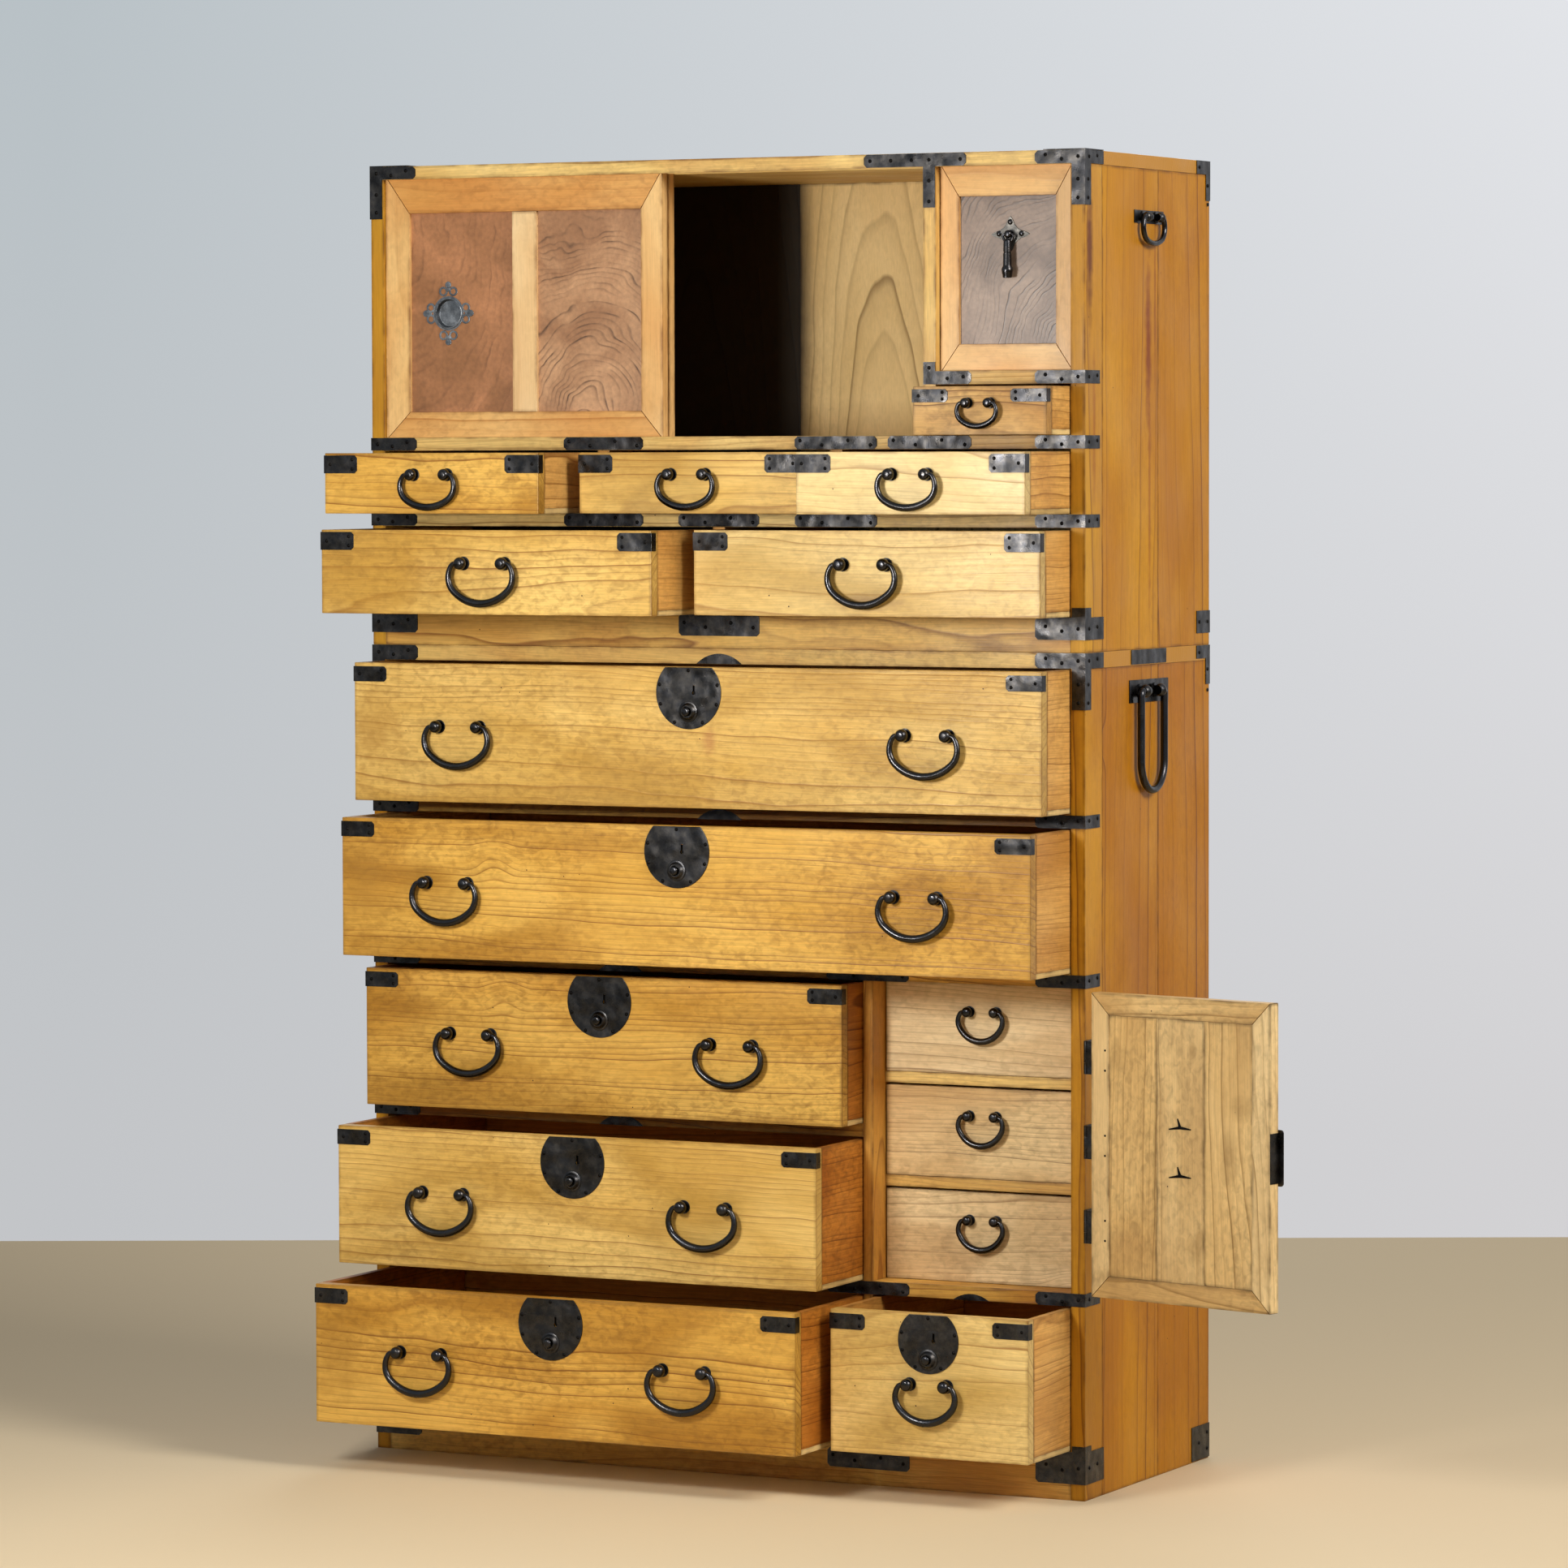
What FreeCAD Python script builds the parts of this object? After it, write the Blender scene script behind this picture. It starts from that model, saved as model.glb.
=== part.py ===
# Two-part Japanese clothing chest: an upper case stands on a lower case, both softwood
# with black ironwork. They hold fifteen drawers, two sliding doors, a lift-out door and
# a hinged door. Drawers and doors are built where they stand open.
# Frame: X to the right seen from the front, Y to the back, Z up, origin at the middle of
# the base. All sizes are in millimetres.
import FreeCAD, Part
import math
import os

# --- overall size -----------------------------------------------------------------
WIDTH = 1060.0
DEPTH = 412.0
LOWER_HEIGHT = 1102.0
UPPER_HEIGHT = 648.0

# --- boards of the two cases ------------------------------------------------------
SIDE_THICK = 20.0
STILE_DEPTH = 56.0
BACK_THICK = 8.0
UPPER_TOP_THICK = 18.0
LOWER_TOP_THICK = 21.0
RAIL_THICK = 18.0
DUST_BOARD_THICK = 8.0
UPPER_PLINTH = 46.0
LOWER_PLINTH = 64.0
PLINTH_DEPTH = 20.0
UPPER_DIVIDER = 18.0
LOWER_DIVIDER = 14.0
INNER_RAIL_THICK = 15.0

# --- openings ---------------------------------------------------------------------
PAIR_ROW = 115.0
TRIPLE_ROW = 84.0
SMALL_ROW = 66.0
SMALL_BAY_WIDTH = 192.0
COMPARTMENT_WIDTH = 285.0
INNER_RECESS = 38.0

# --- drawers ----------------------------------------------------------------------
DRAWER_SIDE_GAP = 1.5
DRAWER_TOP_GAP = 3.0
SEAT_GAP = 0.3
DRAWER_BACK_GAP = 6.0
DRAWER_FRONT_THICK = 18.0
DRAWER_SIDE_THICK = 10.0
DRAWER_BOTTOM_THICK = 7.0
DRAWER_BACK_DROP = 10.0

# --- sliding and lift-out doors ---------------------------------------------------
GROOVE_LIP = 4.0
GROOVE_DEPTH_BELOW = 3.0
GROOVE_DEPTH_ABOVE = 10.0
TRACK_LAND = 3.0
TRACK_BACK_LIP = 4.8
DOOR_THICK = 16.0
DOOR_GROOVE_GAP = 0.3
DOOR_TONGUE_ABOVE = 5.0
SLIDING_DOOR_WIDTH = 423.5
SLIDING_BORDER = 37.0
SLIDING_RIGHT_BORDER = 32.0
SLIDING_TOP_BORDER = 41.0
LIFT_OUT_BORDERS = (27.0, 25.0, 31.0, 33.0)
LIFT_OUT_SIDE_GAP = 1.0
LIFT_OUT_SETBACK = 11.7
PANEL_THICK = 7.0
PANEL_RECESS = 5.0
PARKED_GAP = 0.5

# --- round finger pulls of the sliding doors --------------------------------------
PULL_CUP_RADIUS = 21.0
PULL_CUP_DEPTH = 7.0
PULL_CUP_WALL = 1.0
PULL_SEAT_FIT = 0.2
PULL_PLATE_THICK = 1.0
PULL_LOBE_RADIUS = 21.0
PULL_LOBE_OFFSET_X = 18.0
PULL_LOBE_OFFSET_Z = 22.0
PULL_INSET = 94.5
PULL_FRACTION_UP = 0.48

# --- hinged door ------------------------------------------------------------------
HINGED_THICK = 18.0
HINGED_CLAMP = 22.0
HINGED_BOARDS = 3
HINGED_EDGE_GAP = 1.0
HINGED_FREE_GAP = 2.5
HINGED_PROUD = 0.3
HINGED_OPEN_ANGLE = 167.0
HINGE_PIN_OFFSET = 3.0
HINGE_BARREL_RADIUS = 3.0
HINGE_PIN_RADIUS = 1.4
HINGE_PIN_FIT = 0.25
HINGE_LEAF_HEIGHT = 43.0
HINGE_LEAF_THICK = 1.5
HINGE_DOOR_LEAF = 54.0
HINGE_CASE_LEAF = 30.0
HINGE_LEAF_GAP = 0.5
HINGE_SPACING = 110.0
DOOR_LOCK_PLATE_HEIGHT = 72.0
DOOR_LOCK_PLATE_WIDTH = 50.0
DOOR_LOCK_LIP = 8.0
DOOR_KEYHOLE_INSET = 12.5

# --- flat ironwork ----------------------------------------------------------------
IRON_THICK = 1.2
IRON_EDGE_INSET = 0.5
STRAP_CHAMFER = 4.0
RAIL_END_STRAP = 70.0
RAIL_SIDE_STRAP = 46.0
RAIL_MIDDLE_STRAP = 120.0
TOP_STRAP_REACH = (94.0, 53.0)
CORNER_SIDE_REACH = 58.0
CORNER_ARM_WIDTH = 18.0
CORNER_ARM_DROP = 53.0
BACK_CORNER_REACH = 45.0
BACK_CORNER_ARM = 14.0
FOOT_IRON_BOTTOM = 21.0
FOOT_IRON_TOP = 71.0
BACK_FOOT_IRON = (60.0, 2.0, 48.0)
FOOT_STRAP_HEIGHT = 27.0
BASE_IRON_HEIGHT = 30.0
BASE_IRON_RISE = 12.0
DRAWER_STRAP_LENGTH = 50.0
# Height of a drawer strap, and how far its top edge is below the drawer's.
UPPER_STRAP = (24.0, 3.0)
LOWER_STRAP = (20.5, 5.0)
SMALL_STRAP = (17.0, 3.5)
DRAWER_STRAP_WRAP = 12.0
DRAWER_STRAP_THICK = 1.0

# --- drawer locks -----------------------------------------------------------------
LOCK_PLATE_RADIUS = 48.0
CORNER_LOCK_RADIUS = 43.0
LOCK_PLATE_THICK = 1.6
LOCK_CENTRE_DROP = 34.0
LOCK_BOSS_RADIUS = 11.0
LOCK_BOSS_HEIGHT = 6.0
LOCK_BOSS_DROP = 24.5
LOCK_BUTTON_RADIUS = 5.7
LOCK_BUTTON_FIT = 0.3
LOCK_BUTTON_INSIDE = 3.6
LOCK_BUTTON_OUTSIDE = 5.0
LOCK_BUTTON_ROUND = 1.5
LOCK_CASE_WIDTH = 70.0
LOCK_CASE_HEIGHT = 58.0
LOCK_CASE_THICK = 13.0
LOCK_BOLT_WIDTH = 24.0
LOCK_BOLT_THICK = 6.0
KEYHOLE_OFFSET = 8.0
KEYHOLE_RADIUS = 2.2
KEYHOLE_SLOT_WIDTH = 2.4
KEYHOLE_SLOT_HEIGHT = 9.0

# --- bails ------------------------------------------------------------------------
PIN_FIT = 0.3
PIN_END_GAP = 0.4
PIN_HEAD_LENGTH = 2.5
PIN_HEAD_LIP = 1.2
ROSETTE_THICK = 1.5
STEM_SHARE = 0.55
LARGE_BAIL = dict(half_width=48.5, drop=53.0, bar=4.3, ball=8.0, stand_off=11.0)
CORNER_BAIL = dict(half_width=42.5, drop=48.0, bar=4.3, ball=8.0, stand_off=11.0)
MEDIUM_BAIL = dict(half_width=41.0, drop=43.0, bar=4.0, ball=7.6, stand_off=10.5)
SMALL_BAIL = dict(half_width=32.0, drop=38.5, bar=3.6, ball=6.6, stand_off=9.5)
TINY_BAIL = dict(half_width=27.8, drop=30.0, bar=3.2, ball=6.4, stand_off=8.8)
# Shape of a bail, as shares of its half width: side arc, height of the widest point, curl.
SIDE_ARC_SHARE = 0.54
WIDEST_SHARE = 0.37
CURL_SHARE = 0.14

# A bail's axis below its drawer's top edge, or below its lock's boss, and its place across.
SMALL_ROW_BAIL_DROP = 21.7
TRIPLE_ROW_BAIL_DROP = 29.0
PAIR_ROW_BAIL_DROP = 44.0
INNER_BAIL_DROP = 36.7
BAIL_BELOW_LOCK = 15.0
CORNER_BAIL_BELOW_LOCK = 22.0
LONG_BAIL_OFFSET = 346.0
WIDE_BAIL_OFFSET = 197.0

# --- carrying handles on the case sides -------------------------------------------
UPPER_RING = dict(half_width=35.0, drop=34.5, bar=3.6, ball=6.6, stand_off=7.0)
UPPER_RING_DROP = 81.0
UPPER_RING_PLATE = (96.0, 17.0)
LOWER_BAIL_SPAN = 76.0
LOWER_BAIL_DROP = 131.0
LOWER_BAIL_BAR = 5.0
LOWER_BAIL_BALL = 8.6
LOWER_BAIL_STAND_OFF = 8.0
LOWER_BAIL_BEND = 6.0
LOWER_BAIL_FORWARD = 6.0
LOWER_BAIL_AXIS_DROP = 55.0
LOWER_BAIL_PLATE = (128.0, 30.0)
SEAM_PLATE = (115.0, 19.0)

# --- drop pull of the lift-out door -----------------------------------------------
DROP_PIN_RADIUS = 1.8
DROP_EYE_RADIUS = 5.0
DROP_EYE_STAND_OFF = 8.0
DROP_CHEEK_OFFSET = 7.6
DROP_CHEEK_LENGTH = 9.0
DROP_LENGTH = 56.0
DROP_TIP_RADIUS = 4.2
DROP_PLATE_HALF_WIDTH = 21.0
DROP_PLATE_HALF_HEIGHT = 17.5
DROP_PLATE_THICK = 1.2
DROP_BELOW_TOP = 89.0
DROP_OFFSET = 3.6

# --- how far each drawer stands open ----------------------------------------------
PULLED_OUT = {
    "small_drawer": 73.0,
    "upper_left_drawer": 163.0,
    "upper_middle_drawer": 88.0,
    "upper_right_drawer": 139.0,
    "upper_wide_left_drawer": 173.0,
    "upper_wide_right_drawer": 93.0,
    "long_drawer_1": 88.0,
    "long_drawer_2": 123.0,
    "lower_drawer_3": 61.0,
    "lower_drawer_4": 138.0,
    "lower_drawer_5": 200.0,
    "corner_drawer": 131.0,
    "inner_drawer_1": 0.0,
    "inner_drawer_2": 0.0,
    "inner_drawer_3": 0.0,
}

# --- places worked out from the sizes ---------------------------------------------
HEIGHT = LOWER_HEIGHT + UPPER_HEIGHT
FRONT = -DEPTH / 2
BACK = DEPTH / 2
HALF = WIDTH / 2
INNER = HALF - SIDE_THICK
BOARD_BACK = BACK - BACK_THICK

LOWER_ROW = (LOWER_HEIGHT - LOWER_PLINTH - LOWER_TOP_THICK - 4 * RAIL_THICK) / 5
LOWER_FLOORS = [LOWER_PLINTH + i * (LOWER_ROW + RAIL_THICK) for i in range(5)]
LOWER_DIVIDER_RIGHT = INNER - COMPARTMENT_WIDTH
LOWER_DIVIDER_LEFT = LOWER_DIVIDER_RIGHT - LOWER_DIVIDER
COMPARTMENT_FLOOR = LOWER_FLOORS[1]
COMPARTMENT_TOP = LOWER_FLOORS[2] + LOWER_ROW
INNER_ROW = (COMPARTMENT_TOP - COMPARTMENT_FLOOR - 2 * INNER_RAIL_THICK) / 3
INNER_FLOORS = [COMPARTMENT_FLOOR + i * (INNER_ROW + INNER_RAIL_THICK) for i in range(3)]
INNER_FRONT = FRONT + INNER_RECESS

PAIR_FLOOR = LOWER_HEIGHT + UPPER_PLINTH
TRIPLE_FLOOR = PAIR_FLOOR + PAIR_ROW + RAIL_THICK
CUPBOARD_FLOOR = TRIPLE_FLOOR + TRIPLE_ROW + RAIL_THICK
CUPBOARD_TOP = HEIGHT - UPPER_TOP_THICK
LIFT_OUT_FLOOR = CUPBOARD_FLOOR + SMALL_ROW + RAIL_THICK
SMALL_BAY_LEFT = INNER - SMALL_BAY_WIDTH
CUPBOARD_RIGHT = SMALL_BAY_LEFT - UPPER_DIVIDER
TRIPLE_WIDTH = (2 * INNER - 2 * UPPER_DIVIDER) / 3
TRACK_WIDTH = DOOR_THICK + 2 * DOOR_GROOVE_GAP
FIRST_TRACK = FRONT + GROOVE_LIP
SECOND_TRACK = FIRST_TRACK + TRACK_WIDTH + TRACK_LAND
RAIL_DEPTH = SECOND_TRACK + TRACK_WIDTH + TRACK_BACK_LIP - FRONT
LIFT_OUT_TRACK = FRONT + LIFT_OUT_SETBACK

LOCK_BOSS_BOTTOM = LOCK_CENTRE_DROP + LOCK_BOSS_DROP + LOCK_BOSS_RADIUS
LOCKED_BAIL_DROP = LOCK_BOSS_BOTTOM + BAIL_BELOW_LOCK
CORNER_BAIL_DROP = LOCK_BOSS_BOTTOM + CORNER_BAIL_BELOW_LOCK

X_AXIS = FreeCAD.Vector(1, 0, 0)
Y_AXIS = FreeCAD.Vector(0, 1, 0)
Z_AXIS = FreeCAD.Vector(0, 0, 1)
ORIGIN = FreeCAD.Vector(0, 0, 0)

nodes = {}


def box(x0, x1, y0, y1, z0, z1):
    """A board between two corners."""
    corner = FreeCAD.Vector(x0, y0, z0)
    return Part.makeBox(x1 - x0, y1 - y0, z1 - z0, corner)


def rod(start, direction, radius, length):
    """A round bar from a point along a direction."""
    return Part.makeCylinder(radius, length, start, direction)


def one(first, *others):
    """Several touching or crossing shapes joined into one clean solid."""
    joined = first.multiFuse(list(others)) if others else first
    joined = joined.removeSplitter()
    return joined.Solids[0] if len(joined.Solids) == 1 else joined


def mirrored(shapes):
    """The same shapes on the other side of the chest."""
    return [shape.mirror(ORIGIN, X_AXIS) for shape in shapes]


def front_plate(points, y_back, thick):
    """A flat plate with its back at y_back and its outline given in X and Z."""
    corners = [FreeCAD.Vector(x, y_back, z) for x, z in points]
    face = Part.Face(Part.makePolygon(corners + corners[:1]))
    return face.extrude(FreeCAD.Vector(0, -thick, 0))


def chamfered(x0, x1, z0, z1, left=True, right=True):
    """Outline of a strap, with the corners cut off at its free ends."""
    cut_left = STRAP_CHAMFER if left else 0
    cut_right = STRAP_CHAMFER if right else 0
    points = [(x0 + cut_left, z0), (x1 - cut_right, z0)]
    if right:
        points += [(x1, z0 + cut_right), (x1, z1 - cut_right)]
    points += [(x1 - cut_right, z1), (x0 + cut_left, z1)]
    if left:
        points += [(x0, z1 - cut_left), (x0, z0 + cut_left)]
    return points


# --- cases ------------------------------------------------------------------------

def case_sides(z0, z1):
    """Front stile and side board of both sides."""
    boards = [
        box(INNER, HALF, FRONT, FRONT + STILE_DEPTH, z0, z1),
        box(INNER, HALF, FRONT + STILE_DEPTH, BACK, z0, z1),
    ]
    return boards + mirrored(boards)


def rail(x0, x1, z_top, thick=RAIL_THICK, front=FRONT):
    """A front rail with the thin dust board behind it, their tops level."""
    return [
        box(x0, x1, front, front + RAIL_DEPTH, z_top - thick, z_top),
        box(x0, x1, front + RAIL_DEPTH, BOARD_BACK, z_top - DUST_BOARD_THICK, z_top),
    ]


def divider(x0, x1, z0, z1):
    """An upright board that also fills the step between a rail and its dust board."""
    rise = RAIL_THICK - DUST_BOARD_THICK
    lower_part = box(x0, x1, FRONT, BOARD_BACK, z0, z1)
    step = box(x0, x1, FRONT + RAIL_DEPTH, BOARD_BACK, z1, z1 + rise)
    return one(lower_part, step)


def plinth(z0, height):
    """Front and back base rails with the floor board between them."""
    floor = z0 + height
    floor_under = floor - DUST_BOARD_THICK
    return [
        box(-INNER, INNER, FRONT, FRONT + PLINTH_DEPTH, z0, floor),
        box(-INNER, INNER, FRONT + PLINTH_DEPTH, BOARD_BACK, floor_under, floor),
        box(-INNER, INNER, BOARD_BACK - PLINTH_DEPTH, BOARD_BACK, z0, floor_under),
    ]


def make_upper_case():
    """Sides, top with its door grooves, back, rails and dividers of the upper case."""
    top = box(-HALF, HALF, FRONT, BACK, CUPBOARD_TOP, HEIGHT)
    groove_top = CUPBOARD_TOP + GROOVE_DEPTH_ABOVE
    tracks = [
        (-INNER, CUPBOARD_RIGHT, FIRST_TRACK),
        (-INNER, CUPBOARD_RIGHT, SECOND_TRACK),
        (SMALL_BAY_LEFT, INNER, LIFT_OUT_TRACK),
    ]
    for x0, x1, y0 in tracks:
        top = top.cut(box(x0, x1, y0, y0 + TRACK_WIDTH, CUPBOARD_TOP, groove_top))
    sill, sill_board = rail(-INNER, INNER, CUPBOARD_FLOOR)
    for y0 in (FIRST_TRACK, SECOND_TRACK):
        groove = box(-INNER, CUPBOARD_RIGHT, y0, y0 + TRACK_WIDTH,
                     CUPBOARD_FLOOR - GROOVE_DEPTH_BELOW, CUPBOARD_FLOOR)
        sill = sill.cut(groove)
    small_sill, small_sill_board = rail(SMALL_BAY_LEFT, INNER, LIFT_OUT_FLOOR)
    small_sill = small_sill.cut(box(SMALL_BAY_LEFT, INNER,
                                    LIFT_OUT_TRACK, LIFT_OUT_TRACK + TRACK_WIDTH,
                                    LIFT_OUT_FLOOR - GROOVE_DEPTH_BELOW, LIFT_OUT_FLOOR))
    boards = case_sides(LOWER_HEIGHT, CUPBOARD_TOP)
    boards += [top, sill, sill_board, small_sill, small_sill_board]
    boards += plinth(LOWER_HEIGHT, UPPER_PLINTH)
    boards += rail(-INNER, INNER, TRIPLE_FLOOR)
    boards.append(box(-INNER, INNER, BOARD_BACK, BACK, LOWER_HEIGHT, CUPBOARD_TOP))
    boards.append(box(CUPBOARD_RIGHT, SMALL_BAY_LEFT, FRONT, BOARD_BACK,
                      CUPBOARD_FLOOR, CUPBOARD_TOP))
    boards.append(divider(-UPPER_DIVIDER / 2, UPPER_DIVIDER / 2,
                          PAIR_FLOOR, PAIR_FLOOR + PAIR_ROW))
    for bay in (1, 2):
        x0 = -INNER + bay * TRIPLE_WIDTH + (bay - 1) * UPPER_DIVIDER
        boards.append(divider(x0, x0 + UPPER_DIVIDER, TRIPLE_FLOOR, TRIPLE_FLOOR + TRIPLE_ROW))
    return boards


def make_lower_case():
    """Sides, top, back, rails, divider and inner rails of the lower case."""
    top_under = LOWER_HEIGHT - LOWER_TOP_THICK
    boards = case_sides(0, top_under)
    boards.append(box(-HALF, HALF, FRONT, BACK, top_under, LOWER_HEIGHT))
    boards.append(box(-INNER, INNER, BOARD_BACK, BACK, 0, top_under))
    boards += plinth(0, LOWER_PLINTH)
    boards += rail(-INNER, INNER, LOWER_FLOORS[4])
    boards += rail(-INNER, INNER, LOWER_FLOORS[3])
    boards += rail(-INNER, LOWER_DIVIDER_LEFT, LOWER_FLOORS[2])
    boards += rail(-INNER, LOWER_DIVIDER_LEFT, LOWER_FLOORS[1])
    boards += rail(LOWER_DIVIDER_RIGHT, INNER, LOWER_FLOORS[1])
    boards.append(divider(LOWER_DIVIDER_LEFT, LOWER_DIVIDER_RIGHT,
                          LOWER_PLINTH, COMPARTMENT_TOP))
    for floor in INNER_FLOORS[1:]:
        boards += rail(LOWER_DIVIDER_RIGHT, INNER, floor, INNER_RAIL_THICK, INNER_FRONT)
    return boards


# --- bails ------------------------------------------------------------------------

def bail_frame(place, along, down, out):
    """A function that turns (along, down, out) measures into a point of the chest."""
    def point(u, v, w=0.0):
        return place + along * u + down * v + out * w
    return point


def bail_pin_end(size):
    """Where the straight pin of a fern-shaped bail ends and its curl begins."""
    half = size["half_width"]
    side = SIDE_ARC_SHARE * half
    curl = CURL_SHARE * half
    widest = WIDEST_SHARE * half
    return half - side + math.sqrt((side - curl) ** 2 - (widest - curl) ** 2)


def ball_offset(size):
    """How far from the middle of the bail its ball posts stand."""
    bore = size["bar"] + PIN_FIT
    return bail_pin_end(size) - math.sqrt(size["ball"] ** 2 - bore ** 2) - PIN_END_GAP


def arc(start, middle, end):
    """One arc edge through three points."""
    return Part.Arc(start, middle, end).toShape()


def line(start, end):
    """One straight edge."""
    return Part.LineSegment(start, end).toShape()


def swept(edges, radius, start, direction):
    """A round bar along a path of tangent lines and arcs."""
    profile = Part.Wire(Part.makeCircle(radius, start, direction))
    bar = Part.Wire(edges).makePipeShell([profile], True, False)
    length = sum(edge.Length for edge in edges)
    error = abs(bar.Volume / (math.pi * radius ** 2 * length) - 1)
    if error > 0.02:
        raise ValueError(f"swept bar volume is off by {error:.3f}")
    return bar


def fern_bail(place, along, down, size):
    """A bail whose ends curl in to straight pins through two ball posts."""
    out = down.cross(along)
    point = bail_frame(place, along, down, out)
    half, drop, bar = size["half_width"], size["drop"], size["bar"]
    side = SIDE_ARC_SHARE * half
    curl = CURL_SHARE * half
    widest = WIDEST_SHARE * half
    side_u = half - side
    pin_end = bail_pin_end(size)
    below = drop - widest
    bottom = (side_u ** 2 + below ** 2 - side ** 2) / (2 * (below - side))
    bottom_v = drop - bottom
    curl_angle = math.atan2(widest - curl, pin_end - side_u)
    join_angle = math.atan2(widest - bottom_v, side_u)

    def on_arc(sign, centre_u, centre_v, radius, angle):
        return point(sign * (centre_u + radius * math.cos(angle)),
                     centre_v + radius * math.sin(angle))

    def half_path(sign):
        head = ball_offset(size) - math.sqrt(size["ball"] ** 2 - (bar + PIN_FIT) ** 2)
        start = point(sign * (head - PIN_HEAD_LENGTH), 0)
        pin_point = point(sign * pin_end, 0)
        curl_middle = (-math.pi / 2 - curl_angle) / 2
        curl_point = on_arc(sign, side_u, widest, side, -curl_angle)
        join_point = on_arc(sign, side_u, widest, side, join_angle)
        edges = [
            line(start, pin_point),
            arc(pin_point, on_arc(sign, pin_end, curl, curl, curl_middle), curl_point),
            arc(curl_point, on_arc(sign, side_u, widest, side, (join_angle - curl_angle) / 2),
                join_point),
        ]
        return edges, start, join_point

    left, left_start, left_join = half_path(-1)
    right, right_start, right_join = half_path(1)
    bottom_arc = arc(left_join, point(0, drop), right_join)
    bar_solid = swept(left + [bottom_arc] + right[::-1], bar, left_start, along)
    heads = [rod(left_start, along, bar + PIN_HEAD_LIP, PIN_HEAD_LENGTH),
             rod(right_start, -along, bar + PIN_HEAD_LIP, PIN_HEAD_LENGTH)]
    return one(bar_solid, *heads)


def ball_post(place, along, out, ball, bar, stand_off):
    """A rosette, a stem and a ball bored for the bail's pin."""
    foot = place - out * stand_off
    rosette = rod(foot, out, ball + 1.0, ROSETTE_THICK)
    stem = rod(foot, out, ball * STEM_SHARE, stand_off)
    bead = Part.makeSphere(ball, place).cut(rod(foot, -out, 2 * ball, 2 * ball))
    bore = rod(place - along * (2 * ball), along, bar + PIN_FIT, 4 * ball)
    return one(rosette, stem, bead).cut(bore).Solids[0]


def bail_posts(place, along, down, size):
    """The two ball posts of a fern-shaped bail."""
    out = down.cross(along)
    offset = ball_offset(size)
    return [ball_post(place + along * (sign * offset), along, out, size["ball"], size["bar"],
                      size["stand_off"]) for sign in (-1, 1)]


def front_bail_place(x, front, z, size):
    """Middle of the pivot axis of a bail on a drawer or door front."""
    return FreeCAD.Vector(x, front - size["stand_off"], z)


# --- drawers ----------------------------------------------------------------------

def drawer_box(x0, x1, z0, z1, front, depth):
    """Front, sides, back and bottom boards of one drawer."""
    inside_back = front + depth
    floor = z0 + DRAWER_BOTTOM_THICK
    behind = front + DRAWER_FRONT_THICK
    side = DRAWER_SIDE_THICK
    return [
        box(x0, x1, front, behind, z0, z1),
        box(x0, x0 + side, behind, inside_back, floor, z1),
        box(x1 - side, x1, behind, inside_back, floor, z1),
        box(x0 + side, x1 - side, inside_back - side, inside_back, floor, z1 - DRAWER_BACK_DROP),
        box(x0, x1, behind, inside_back, z0, floor),
    ]


def drawer_straps(x0, x1, z_top, front, height, drop):
    """Iron straps that wrap both top corners of a drawer front."""
    z1 = z_top - drop
    z0 = z1 - height
    thick = DRAWER_STRAP_THICK
    straps = []
    left = front_plate(chamfered(x0 - thick, x0 + DRAWER_STRAP_LENGTH, z0, z1, left=False),
                       front, thick)
    straps.append(one(left, box(x0 - thick, x0, front, front + DRAWER_STRAP_WRAP, z0, z1)))
    right = front_plate(chamfered(x1 - DRAWER_STRAP_LENGTH, x1 + thick, z0, z1, right=False),
                        front, thick)
    straps.append(one(right, box(x1, x1 + thick, front, front + DRAWER_STRAP_WRAP, z0, z1)))
    return straps


def lock_pieces(x, z_top, front, radius):
    """Round lock plate with its boss, and the lock case and bolt behind the front board."""
    z = z_top - LOCK_CENTRE_DROP
    boss_z = z - LOCK_BOSS_DROP
    plate = rod(FreeCAD.Vector(x, front, z), -Y_AXIS, radius, LOCK_PLATE_THICK)
    reach = 2 * radius
    plate = plate.cut(box(x - reach, x + reach, front - reach, front + reach,
                          z_top - IRON_EDGE_INSET, z_top + reach))
    boss_place = FreeCAD.Vector(x, front, boss_z)
    boss = rod(boss_place, -Y_AXIS, LOCK_BOSS_RADIUS, LOCK_PLATE_THICK + LOCK_BOSS_HEIGHT)
    bore = rod(boss_place, -Y_AXIS, LOCK_BUTTON_RADIUS + LOCK_BUTTON_FIT, reach)
    keyhole_x = x + KEYHOLE_OFFSET
    keyhole = rod(FreeCAD.Vector(keyhole_x, front, z), -Y_AXIS, KEYHOLE_RADIUS, reach)
    slot = box(keyhole_x - KEYHOLE_SLOT_WIDTH / 2, keyhole_x + KEYHOLE_SLOT_WIDTH / 2,
               front - reach, front, z, z + KEYHOLE_SLOT_HEIGHT)
    plate = one(plate, boss).cut(bore).cut(keyhole).cut(slot)
    behind = front + DRAWER_FRONT_THICK
    case_top = z_top - LOCK_BOLT_THICK
    case = box(x - LOCK_CASE_WIDTH / 2, x + LOCK_CASE_WIDTH / 2, behind,
               behind + LOCK_CASE_THICK, case_top - LOCK_CASE_HEIGHT, case_top)
    bolt = box(x - LOCK_BOLT_WIDTH / 2, x + LOCK_BOLT_WIDTH / 2, behind,
               behind + LOCK_BOLT_THICK, case_top, z_top)
    return [plate.Solids[0], case, bolt]


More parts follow.
